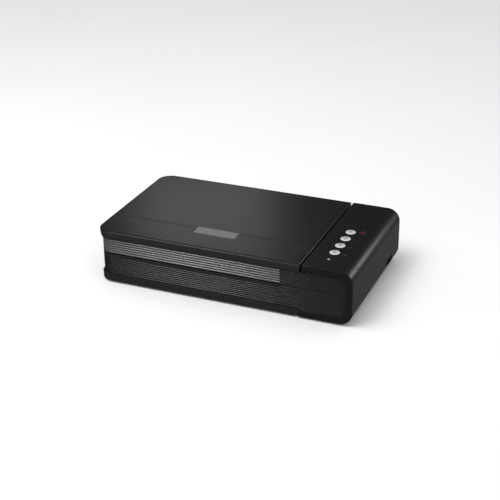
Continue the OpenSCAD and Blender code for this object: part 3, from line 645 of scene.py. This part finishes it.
PIN_LOW, PIN_HIGH = case_box("hinge_pins")
HINGE_Y = (PIN_LOW.y + PIN_HIGH.y) / 2
HINGE_Z = (PIN_LOW.z + PIN_HIGH.z) / 2
HINGE_XS = (95.0, 270.0)
KNUCKLE_R = 5.0
KNUCKLE_HALF = 8.0
EAR_GAP = 0.4
EAR_T = 5.6
PIN_HOLE_R = 2.06


def make_lid_ears():
    """Four ears that reach back from the lid's skirt to the hinge pins."""
    root = CASE_D - LID_SKIRT + 0.4
    outline = [(root, LID_Z + 0.2), (HINGE_Y - 1, LID_Z + 0.2)]
    outline += [(HINGE_Y + KNUCKLE_R * math.cos(a), HINGE_Z + KNUCKLE_R * math.sin(a))
                for a in (math.radians(t) for t in range(-45, 91, 9))]
    outline += [(root, HINGE_Z + KNUCKLE_R)]
    parts, holes = [], []
    for x in HINGE_XS:
        for side in (-1, 1):
            start = x + side * (KNUCKLE_HALF + EAR_GAP + EAR_T / 2) - EAR_T / 2
            parts.append(loft([[(sx, y, z) for y, z in outline] for sx in (start, start + EAR_T)]))
            hole = circle((HINGE_Y, HINGE_Z), PIN_HOLE_R, 32)
            holes.append(loft([[(sx, y, z) for y, z in hole] for sx in (start - 1, start + EAR_T + 1)]))
    ears = add_piece("lid_ears", *join_parts(parts), "lid", "lid", slot="case_black")
    cut(ears, [join_parts(holes)])
    soften(ears, 0.3 * MM)


def make_name_plate():
    """Blank plate with a plain frame line sunk round its edge."""
    steps = [(0.0, -0.5), (0.0, -0.12), (0.14, 0.0), (1.5, 0.0), (1.62, -0.12), (2.1, -0.12), (2.22, 0.0)]
    rings = []
    for inset, dz in steps:
        low = (PLATE_LOW.x + inset, PLATE_LOW.y + inset)
        high = (PLATE_HIGH.x - inset, PLATE_HIGH.y - inset)
        radius = max(0.3, 1.4 - inset / 2)
        rings.append([(x, y, PLATE_HIGH.z - 0.1 + dz) for x, y in rounded_rect(low, high, radius, 5)])
    add_piece("badge_plate", *loft(rings), "plate", "lid", ["name_plate"], "plate_grey", sharp=25)


# ---- Control housing ----

EDGE_ROUND = 1.7
RIM_W = 11.5
RIM_DEPTH = 3.4
SPINE_BEVEL = 2.2
SKIRT_END = BED_Z - 0.2
CAP_R = 8.2
SCREW_X = 370.5
SCREW_HOLE_R = 3.2


def housing_section(inset):
    """The housing's section in x and z, from its foot round its right side to its upper left edge."""
    centre_x = CASE_W - SPINE_R
    radius = SPINE_R - inset
    left = SPINE_X + min(inset, SHELL_T)
    bevel = SPINE_BEVEL - 0.42 * min(inset, SHELL_T)
    points = [(x, inset) for x in spread(FOOT_X, centre_x, 12)][:-1]
    for centre_z, start in ((SPINE_R, -90), (CASE_H - SPINE_R, 0)):
        points += [(centre_x + radius * math.cos(math.radians(start + a)),
                    centre_z + radius * math.sin(math.radians(start + a))) for a in range(0, 91, 5)]
    points += [(x, CASE_H - inset) for x in spread(centre_x, left + bevel, 12)][1:]
    points += [(left, CASE_H - inset - bevel), (left, SKIRT_END)]
    return points


def make_housing():
    """The control housing: a section run from front to rear with a rim at each end, then its openings."""
    front = quarter(EDGE_ROUND)[::-1]
    outer = front + [(y, 0) for y in spread(EDGE_ROUND, CASE_D - EDGE_ROUND, 20)][1:-1]
    outer += [(CASE_D - y, inset) for y, inset in reversed(front)]
    soft = 0.5
    rear_rim = [(CASE_D, RIM_W - soft), (CASE_D - soft, RIM_W), (CASE_D - RIM_DEPTH, RIM_W),
                (CASE_D - RIM_DEPTH, SHELL_T)]
    front_rim = [(RIM_DEPTH, SHELL_T), (RIM_DEPTH, RIM_W), (soft, RIM_W), (0, RIM_W - soft)]
    rings = [[(x, y, z) for x, z in housing_section(inset)] for y, inset in outer + rear_rim + front_rim]
    verts, faces = loft(rings, closed_rings=False, closed_loft=True)
    count = len(rings[0])
    faces.append(tuple(i * count for i in range(len(rings))))
    faces.append(tuple(i * count + count - 1 for i in range(len(rings) - 1, -1, -1)))
    housing = add_piece("housing_cover", verts, faces, "case", "base", ["spine_shell"], "case_black",
                        sharp=30)
    cutters = []
    low, high = case_box("lamp_lens")
    holes = [(f"scan_button_{i}", CAP_R + 0.35) for i in range(1, 5)]
    holes.append(("lamp_lens", (high.x - low.x) / 2 + 0.1))
    for name, radius in holes:
        cutters.append(round_cutter(case_middle(name), radius, CASE_H - 2 * SHELL_T, CASE_H + 2))
    low, high = case_box("switch_bezel")
    pocket = rounded_rect((low.y - 0.2, low.z - 0.2), (high.y + 0.2, high.z + 0.2), 1.2)
    cutters.append(loft([[(x, y, z) for y, z in pocket] for x in (CASE_W - 8, CASE_W + 2)]))
    for y in FEET_Y:
        cutters.append(round_cutter((SCREW_X, y), SCREW_HOLE_R, -2, 2 * SHELL_T, 32))
    cut(housing, cutters)
    soften(housing, 0.25 * MM, angle=40)


# ---- Ribbed walls ----

RIB_T = 1.9
GROOVE = 1.3
JOINT_GAP = 1.6
PAGE_PITCH = 3.5
STRIP_PITCH = 4.2
JOINT_DEPTH = 3.2
BAND_H = 7.0
BACK_INSET = 7.0
RIB_SHAPE = ((-0.44, 0.0), (-0.3, 0.42), (-0.16, 0.84), (0.0, 1.0), (0.16, 0.84), (0.3, 0.42), (0.44, 0.0))
BAY_LEFT = STRIP_HIGH.x + 1
FASCIA_X = SPINE_X + SHELL_T + 0.4
FASCIA_END = CASE_W - 8.5
FASCIA_TOP = CASE_H - 8.5
WALL_FOOT = 5.6


def outline_columns(front_xs, rear_xs):
    """Round the case from its front right to its rear right: (x, y, outward x, outward y) of each column."""
    columns = [(x, 0.0, 0.0, -1.0) for x in front_xs]
    for cx, cy, start in ((CORNER_R, CORNER_R, 270), (CORNER_R, CASE_D - CORNER_R, 180)):
        for turn in range(0, 91, 5):
            a = math.radians(start - turn)
            out_x, out_y = math.cos(a), math.sin(a)
            columns.append((cx + CORNER_R * out_x, cy + CORNER_R * out_y, out_x, out_y))
        if start == 270:
            columns += [(0.0, y, -1.0, 0.0) for y in spread(CORNER_R, CASE_D - CORNER_R, 40)][1:-1]
    return columns + [(x, CASE_D, 0.0, 1.0) for x in rear_xs]


def sunk(column, depth, z):
    """The point of a column at height z, that far in from the outline."""
    x, y, nx, ny = column
    return x - nx * depth, y - ny * depth, z


def rib_rows(starts, pitch):
    """(z, how far it stands out from 0 to 1) along ribs whose lower edges are at the starts."""
    return [(z + RIB_T / 2 + pitch * dz, h) for z in starts for dz, h in RIB_SHAPE]


def paint_groove_shade(piece, depth):
    """Stores how far each point stands out of the grooves, 0 to 1, for the material to paint shade into the
    grooves.
    """
    levels = piece.data.attributes.new("tone", "FLOAT", "POINT")
    for point, level in zip(piece.data.vertices, levels.data):
        x, y, _ = (point.co - case_origin) / MM
        dx = min(0.0, x - CORNER_R)
        dy = min(0.0, y - CORNER_R) + max(0.0, y - CASE_D + CORNER_R)
        inset = CORNER_R - math.hypot(dx, dy) if dx and dy else min(x, y, CASE_D - y)
        level.value = min(1.0, max(0.0, 1 - (inset - WALL_INSET) / depth))


def make_page_wall():
    """Dark wall: ribbed to its top at the housing and the rear, and up to a plain band under the strip."""
    starts = [FLANGE_Z - 2.6 + PAGE_PITCH * k for k in range(int((FASCIA_TOP - FLANGE_Z) / PAGE_PITCH) + 1)]
    soft = 0.2
    band = (STRIP_LOW.z - BAND_H, STRIP_LOW.z - JOINT_GAP)
    ribs = rib_rows(starts, PAGE_PITCH)
    extra = [band[0], band[0] + soft, band[1] - soft, band[1], band[1] + 0.02]
    zs = sorted({WALL_FOOT, BED_Z - 0.4, FASCIA_TOP, *(z for z, _ in ribs), *extra})

    def rib_height(z):
        for (z0, h0), (z1, h1) in zip(ribs, ribs[1:]):
            if z0 <= z <= z1:
                return h0 + (h1 - h0) * (z - z0) / (z1 - z0)
        return 0.0

    def inset_at(z, strip_zone):
        if strip_zone and z > band[1] + 0.01:
            return WALL_INSET + JOINT_DEPTH
        if strip_zone and z >= band[0]:
            rise = min(1.0, (z - band[0]) / soft, (band[1] - z) / soft) if z <= band[1] else 0.0
            return WALL_INSET + GROOVE * (1 - max(0.0, rise))
        return WALL_INSET + GROOVE * (1 - rib_height(z))

    edge = 0.03
    front_xs = [FASCIA_END, FASCIA_X + edge, FASCIA_X - edge, BAY_LEFT + edge, BAY_LEFT - edge]
    front_xs += spread(BAY_LEFT, CORNER_R, 60)[1:-1]
    rear_left = 31.0
    rear_xs = [rear_left - edge, rear_left + edge] + spread(60, FASCIA_X - 30, 60)
    rear_xs += [FASCIA_X - edge, FASCIA_X + edge, FASCIA_END]
    rings = []
    for column in outline_columns(front_xs, rear_xs):
        x, ny = column[0], column[3]
        in_strip = x < BAY_LEFT and not (ny == 1.0 and x > rear_left)
        top = FASCIA_TOP if x > FASCIA_X else BED_Z - 0.4
        ring = [sunk(column, inset_at(min(z, top), in_strip), min(z, top)) for z in zs]
        rings.append(ring + [sunk(column, BACK_INSET, top), sunk(column, BACK_INSET, WALL_FOOT)])
    wall = add_piece("ribbed_wall", *loft(rings), "page", "base", ["page_wall"], "page_dark", sharp=40)
    cutters = []
    for name in ("usb_port", "dc_jack"):
        low, high = case_box(name)
        port = rounded_rect((low.x - 0.5, low.z - 0.2), (high.x + 0.5, high.z + 0.5), 0.4, 3)
        cutters.append(loft([[(x, y, z) for x, z in port] for y in (CASE_D - 12, CASE_D + 1)]))
    cut(wall, cutters)
    # Painted shade: the tone level darkens the grooves between the ribs.
    paint_groove_shade(wall, GROOVE)
    wall.data.shade_smooth()
    wall.data.set_sharp_from_angle(angle=math.radians(40))


def make_grey_strip():
    """Brighter ribbed strip from the housing round the left side to just past the rear left corner."""
    starts = [STRIP_LOW.z + 0.7 + STRIP_PITCH * k for k in range(6)]
    rows = [(STRIP_LOW.z, 0.0)] + [row for row in rib_rows(starts, STRIP_PITCH) if row[0] > STRIP_LOW.z]
    rows += [(BED_Z - 0.8, 0.0), (BED_Z - 0.75, 0.9), (BED_Z, 0.9)]
    back = WALL_INSET + 1.75
    front_xs = spread(STRIP_HIGH.x, CORNER_R, 50)[:-1]
    rings = []
    for column in outline_columns(front_xs, [CORNER_R + 5]):
        ring = [sunk(column, WALL_INSET + GROOVE * (1 - h), z) for z, h in rows]
        rings.append(ring + [sunk(column, back, BED_Z), sunk(column, back, STRIP_LOW.z)])
    strip = add_piece("page_strip", *loft(rings), "strip", "base", ["grey_strip"], "strip_grey", sharp=40)
    # Painted shade: the tone level darkens the grooves between the ribs.
    paint_groove_shade(strip, GROOVE)


# ---- Small outside pieces ----

def make_feet():
    """Four round feet, rounded below and hollowed in the middle."""
    low, high = case_box("rubber_feet")
    r = 8.0
    profile = [(0.01, high.z), (r, high.z), (r, low.z + 0.7), (r - 0.2, low.z + 0.2),
               (r - 0.7, low.z), (5.2, low.z), (4.8, low.z + 0.5), (0.01, low.z + 0.6)]
    parts = [lathe((x, y), profile) for x in FEET_X for y in FEET_Y]
    add_piece("foot_pads", *join_parts(parts), "rubber", "base", ["rubber_feet"], "rubber", sharp=30)


MARK_T = 0.05


def thin_shape(points, z=CASE_H):
    """A printed mark: a closed outline in x and y, standing out of the surface by a few hundredths."""
    return loft([[(x, y, z + dz) for x, y in points] for dz in (-MARK_T, MARK_T)])


def frame_mark(x, y, w, d):
    """Outline of a sheet, as one closed frame."""
    line = 0.28
    rings = []
    for sx, sy in ((0, 0), (1, 0), (1, 1), (0, 1)):
        outer = (x + sx * w, y + sy * d)
        inner = (outer[0] + line * (1 - 2 * sx), outer[1] + line * (1 - 2 * sy))
        rings.append([(*outer, CASE_H - MARK_T), (*outer, CASE_H + MARK_T), (*inner, CASE_H + MARK_T),
                      (*inner, CASE_H - MARK_T)])
    return loft(rings, closed_loft=True)


def bar_mark(x, y, w, d, z=CASE_H):
    return thin_shape([(x, y), (x + w, y), (x + w, y + d), (x, y + d)], z)


def make_rulers():
    """Scale lines on the bed frame, along the glass's front and right edges."""
    low, high = case_box("scan_glass")
    step, gap, line = 10, 0.8, 0.3
    shapes = []
    for k in range(int((high.x - low.x) / step)):
        reach = 3.0 if k % 5 == 0 else 1.8
        shapes.append(bar_mark(high.x - 2 - step * k, low.y - gap - reach, line, reach, BED_Z))
    for k in range(int((high.y - low.y) / step)):
        reach = 3.0 if k % 5 == 0 else 1.8
        shapes.append(bar_mark(high.x + gap, low.y + 2 + step * k, reach, line, BED_Z))
    add_piece("ruler_lines", *join_parts(shapes), "white", "base")


def make_marks():
    """Plain pictograms beside the buttons: bars, a sheet, two sheets, three dots. And a corner arrow."""
    mark_x = 417.0
    disc_r = 2.9
    ys = [case_middle(f"scan_button_{i}")[1] for i in range(1, 5)]
    lines = [bar_mark(mark_x, ys[0] - 6.0 + 1.5 * k, 6.2 - (1.6 if k == 0 else 0), 0.45) for k in range(4)]
    sheet = [frame_mark(mark_x + 0.4, ys[1] - 6.6, 4.6, 6.0)]
    sheet += [bar_mark(mark_x + 1.6, ys[1] - 4 + 1.3 * k, 2.2, 0.3) for k in range(2)]
    pair = [frame_mark(mark_x + dx, ys[2] - 6.2, 3.1, 4.6) for dx in (0, 3.7)]
    add_piece("marks_grey", *join_parts(lines + sheet + pair), "mark_grey", "base", slot="plate_grey")
    discs = []
    for dx, dy in ((0.0, 3.4), (-3.05, -2.1), (3.05, -2.1)):
        discs.append(thin_shape(circle((mark_x + 4.6 + dx, ys[3] + 4.4 + dy), disc_r, 24)))
    add_piece("marks_red", *join_parts(discs), "mark_red", "base")
    low, high = case_box("scan_glass")
    corner = [(high.x + 3, low.y - 0.6), (high.x + 9, low.y + 2.2), (high.x + 3, low.y + 5)]
    add_piece("corner_arrow", *thin_shape(corner, BED_Z), "white", "base", slot="white_plastic")


# ---- Mat, belt and ribbon ----

def make_mat_piece():
    """Thin foam mat under white film: edges pressed down, face gently uneven."""
    low, high = case_box("document_mat")
    soft = 2.2

    def lines(a, b):
        edges = (0.05, 0.5, soft)
        return sorted({*spread(a, b, 7)[1:-1], *(a + d for d in edges), *(b - d for d in edges)})

    xs, ys = lines(low.x, high.x), lines(low.y, high.y)
    verts = []
    for y in ys:
        for x in xs:
            edge = min(x - low.x, high.x - x, y - low.y, high.y - y)
            press = 0.95 * (1 - smooth(0, soft, edge)) ** 2
            wave = math.sin(x / 17 + 1.3 * math.sin(y / 23)) + math.sin(y / 13 + math.sin(x / 31))
            verts.append((x, y, low.z + 0.02 + press + 0.06 * (2 + wave) * smooth(0, 8, edge)))
    border = grid_border(len(ys), len(xs))
    rim = range(len(verts), len(verts) + len(border))
    verts += [(verts[i][0], verts[i][1], high.z - 0.02) for i in border]
    faces = grid_faces(len(ys), len(xs)) + band_faces(border, rim) + [tuple(rim)]
    mat = add_piece("foam_mat", verts, faces, "mat", "lid", ["document_mat"], "mat_foam", sharp=60)


BELT_T = 0.8
BELT_PITCH = 2.0
TOOTH_T = 0.24


def make_belt():
    """Toothed belt round the idler and the reduction gear's pulley."""
    low, high = case_box("drive_belt")
    y = (low.y + high.y) / 2
    outer = (high.y - low.y) / 2
    inner = outer - BELT_T
    x0, x1 = low.x + outer, high.x - outer
    span = x1 - x0
    arc = math.pi * inner
    length = 2 * (span + arc)
    count = round(length / BELT_PITCH)

    def place(s, r):
        """Point at length s round the loop, r out from its centre line of pulleys."""
        s %= length
        if s < span:
            return x0 + s, y - r
        s -= span
        if s < arc:
            a = -math.pi / 2 + s / inner
            return x1 + r * math.cos(a), y + r * math.sin(a)
        s -= arc
        if s < span:
            return x1 - s, y + r
        a = math.pi / 2 + (s - span) / inner
        return x0 + r * math.cos(a), y + r * math.sin(a)

    rings = []
    for k in range(count):
        for share, tooth in ((0.0, 0.0), (0.5, 0.0), (0.58, TOOTH_T), (0.92, TOOTH_T)):
            s = (k + share) * length / count
            a, b = place(s, inner - tooth), place(s, outer)
            rings.append([(*a, low.z), (*b, low.z), (*b, high.z), (*a, high.z)])
    add_piece("toothed_belt", *loft(rings, closed_loft=True), "rubber", "base", ["drive_belt"], "rubber",
              sharp=50)


# Middle of the flat cable in x and z: from the board along the floor, then above its bend to the carriage
RIBBON_START = [(382, 20.6), (376, 20.6), (372, 17), (368, 10), (363, 7.2), (355, 6.8), (345, 4.4),
                (330, 3.6), (250, 3.8), (175, 4.4)]
RIBBON_END = [(175, 15.8), (240, 17.6), (300, 23), (322, 28.4), (332, 29.6)]
RIBBON_BEND_R = 5.5
RIBBON_T = 0.4


def make_ribbon_piece():
    """Flat cable from the board along the floor, round its bend and up to the carriage; it rides on no body.
    """
    angles = [math.radians(a) for a in range(15, 166, 15)]
    bend = [(168 - RIBBON_BEND_R * math.sin(a), 4.6 + RIBBON_BEND_R * (1 - math.cos(a))) for a in angles]
    line = RIBBON_START + bend + RIBBON_END
    low, high = case_box("ribbon_cable")
    width = spread(low.y, high.y, 1.0)
    points = []
    for (x0, z0), (x1, z1) in zip(line, line[1:]):
        steps = max(1, round(math.hypot(x1 - x0, z1 - z0) / 6))
        points += [(x0 + (x1 - x0) * k / steps, z0 + (z1 - z0) * k / steps) for k in range(steps)]
    points.append(line[-1])
    rings = []
    for i, (x, z) in enumerate(points):
        xa, za = points[max(0, i - 1)]
        xb, zb = points[min(len(points) - 1, i + 1)]
        size = math.hypot(xb - xa, zb - za)
        nx, nz = -(zb - za) / size, (xb - xa) / size
        edge = [(y, RIBBON_T / 2 * (1.0 if j % 2 else 0.72)) for j, y in enumerate(width)]
        rings.append([(x + nx * ridge, y, z + nz * ridge) for y, ridge in edge]
                     + [(x - nx * ridge, y, z - nz * ridge) for y, ridge in reversed(edge)])
    ribbon = add_piece("flat_cable", *loft(rings), "ribbon", None, ["ribbon_cable"], "ribbon", sharp=60)
    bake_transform(ribbon)


make_lid_cover()
make_lid_ears()
make_name_plate()
make_housing()
make_page_wall()
make_grey_strip()
make_feet()
make_marks()
make_rulers()
make_mat_piece()
make_belt()
make_ribbon_piece()


# ---- CAD nodes that are shown as they are ----

NODE_LOOKS = {
    "base_tray": "tray", "page_wall": "page", "grey_strip": "strip", "bed_frame": "case",
    "scan_glass": "glass", "calibration_strip": "white", "spine_shell": "case", "lamp_lens": "lamp",
    "button_board": "board", "tact_switches": "inner", "switch_bezel": "inner", "switch_body": "inner",
    "main_board": "board", "board_chips": "inner", "board_standoffs": "brass", "board_screws": "steel",
    "usb_port": "steel", "dc_jack": "inner", "bulkhead": "inner", "motor": "steel",
    "motor_bracket": "steel", "motor_screws": "steel", "gear_axle": "ground", "idler_axle": "ground",
    "tension_block": "inner", "tension_spring": "ground", "drive_belt": "rubber", "guide_rod": "ground",
    "rod_clips": "inner", "slide_rails": "ground", "rubber_feet": "rubber", "case_screws": "steel",
    "hinge_sockets": "case", "hinge_posts": "inner", "hinge_pins": "ground", "lid_shell": "lid",
    "lid_inner": "inner", "document_mat": "mat", "name_plate": "plate", "lid_bumpers": "rubber",
    "lid_screws": "steel", "carriage_housing": "inner", "lamp_bar": "lamp", "carriage_mirrors": "mirror",
    "lens_barrel": "inner", "sensor_board": "board", "rod_bushes": "brass", "glide_pads": "white",
    "belt_clamp": "inner", "ribbon_cable": "ribbon", "motor_pinion": "brass", "reduction_gear": "white",
    "idler_pulley": "white", "scan_button_1": "silver", "scan_button_2": "silver",
    "scan_button_3": "silver", "scan_button_4": "silver", "power_rocker": "inner",
}
NO_BEVEL = {"tension_spring", "reduction_gear", "motor_pinion", "ribbon_cable", "scan_glass"}


for name, look_name in NODE_LOOKS.items():
    piece = nodes[name]
    piece.data.materials.clear()
    piece.data.materials.append(looks[look_name])
    if name not in NO_BEVEL and not piece.hide_render:
        soften(piece, 0.22 * MM)


# ---- Camera, lights, floor ----

def make_stage():
    floor_mesh = bpy.data.meshes.new("floor")
    size = 6.0
    floor_mesh.from_pydata([(-size, -size, 0), (size, -size, 0), (size, size, 0), (-size, size, 0)], [],
                           [(0, 1, 2, 3)])
    floor = bpy.data.objects.new("floor", floor_mesh)
    bpy.context.scene.collection.objects.link(floor)
    look = Look("floor_paper", roughness=0.9, specular=0.1)
    look.colour(look.ramp(look.noise(3), [(0.3, (0.90, 0.90, 0.90)), (0.7, (0.92, 0.92, 0.92))]))
    floor.data.materials.append(look.material)
    floor.visible_glossy = False


def area_light(name, place, aim, width, height, watts):
    data = bpy.data.lights.new(name, "AREA")
    data.shape = "RECTANGLE"
    data.size = width
    data.size_y = height
    data.energy = watts
    lamp = bpy.data.objects.new(name, data)
    lamp.location = place
    lamp.rotation_mode = "QUATERNION"
    lamp.rotation_quaternion = (Vector(aim) - Vector(place)).to_track_quat("-Z", "Y")
    bpy.context.scene.collection.objects.link(lamp)
    return lamp


def make_camera():
    azimuth, elevation, roll = math.radians(22.86), math.radians(25.94), math.radians(-0.67)
    distance = 2.0031
    target = Vector((0, -0.00706, 0.03789))
    back = Vector((math.sin(azimuth) * math.cos(elevation), -math.cos(azimuth) * math.cos(elevation),
                   math.sin(elevation)))
    data = bpy.data.cameras.new("camera")
    data.lens = 84.0
    data.sensor_width = 36
    data.clip_start = 0.05
    camera = bpy.data.objects.new("camera", data)
    camera.location = target + back * distance
    camera.rotation_mode = "QUATERNION"
    camera.rotation_quaternion = Quaternion(back, roll) @ (-back).to_track_quat("-Z", "Y")
    bpy.context.scene.collection.objects.link(camera)
    bpy.context.scene.camera = camera


# Greys that reflections see, by height from straight down (-1) to straight up (1)
STUDIO_GREYS = [(-1.0, 0.02), (-0.7, 0.06), (-0.4, 0.25), (-0.05, 0.11), (0.2, 0.05), (0.6, 0.085),
                (1.0, 0.2)]


def make_world():
    """White backdrop; a soft fill and a dim studio to reflect, both paler towards the right."""
    world = bpy.data.worlds.new("studio")
    bpy.context.scene.world = world
    world.use_nodes = True
    tree = world.node_tree
    tree.nodes.clear()
    coords = tree.nodes.new("ShaderNodeTexCoord")
    split = tree.nodes.new("ShaderNodeSeparateXYZ")
    link(tree, coords, "Generated", split, "Vector")
    rise = tree.nodes.new("ShaderNodeMapRange")
    rise.inputs["From Min"].default_value = -1
    rise.inputs["From Max"].default_value = 1
    link(tree, split, "Z", rise, "Value")
    studio = tree.nodes.new("ShaderNodeValToRGB")
    elements = studio.color_ramp.elements
    while len(elements) < len(STUDIO_GREYS):
        elements.new(0.5)
    for element, (height, grey) in zip(elements, STUDIO_GREYS):
        element.position = (height + 1) / 2
        element.color = (grey, grey, grey, 1)
    link(tree, rise, "Result", studio, "Fac")

    def from_left(start, end, low, high):
        """Strength that goes from low to high as the direction's x goes from start to end."""
        made = tree.nodes.new("ShaderNodeMapRange")
        for key, value in (("From Min", start), ("From Max", end), ("To Min", low), ("To Max", high)):
            made.inputs[key].default_value = value
        link(tree, split, "X", made, "Value")
        return made

    path = tree.nodes.new("ShaderNodeLightPath")
    reflected = tree.nodes.new("ShaderNodeBackground")
    link(tree, studio, "Color", reflected, "Color")
    link(tree, from_left(-0.35, 0.35, 0.3, 1.35), "Result", reflected, "Strength")
    matt = tree.nodes.new("ShaderNodeBackground")
    matt.inputs["Color"].default_value = (1, 1, 1, 1)
    link(tree, from_left(-0.6, 0.6, 0.5, 0.85), "Result", matt, "Strength")
    backdrop = tree.nodes.new("ShaderNodeBackground")
    backdrop.inputs["Color"].default_value = (1, 1, 1, 1)
    first = tree.nodes.new("ShaderNodeMixShader")
    tree.links.new(path.outputs["Is Glossy Ray"], first.inputs[0])
    tree.links.new(matt.outputs[0], first.inputs[1])
    tree.links.new(reflected.outputs[0], first.inputs[2])
    second = tree.nodes.new("ShaderNodeMixShader")
    tree.links.new(path.outputs["Is Camera Ray"], second.inputs[0])
    tree.links.new(first.outputs[0], second.inputs[1])
    tree.links.new(backdrop.outputs[0], second.inputs[2])
    out = tree.nodes.new("ShaderNodeOutputWorld")
    tree.links.new(second.outputs[0], out.inputs["Surface"])


make_camera()
make_stage()
make_world()
key = area_light("key", (-0.7, -0.9, 2.2), (0, 0, 0.05), 1.6, 1.6, 40)
key.visible_glossy = False
for name, place, aim, width, height, watts in (
        ("sheen", (-0.383, 0.62, 0.44), (-0.10, -0.04, 0.09), 0.33, 0.20, 0.31),
        ("edge", (0.54, 0.38, 0.24), (0.22, -0.12, 0.085), 0.16, 0.16, 0.75),
        ("front", (-0.385, -0.83, 0.52), (-0.06, -0.13, 0.05), 0.24, 0.24, 3.8)):
    card = area_light(name, place, aim, width, height, watts)
    card.visible_diffuse = False
bpy.context.scene.view_settings.view_transform = "Standard"
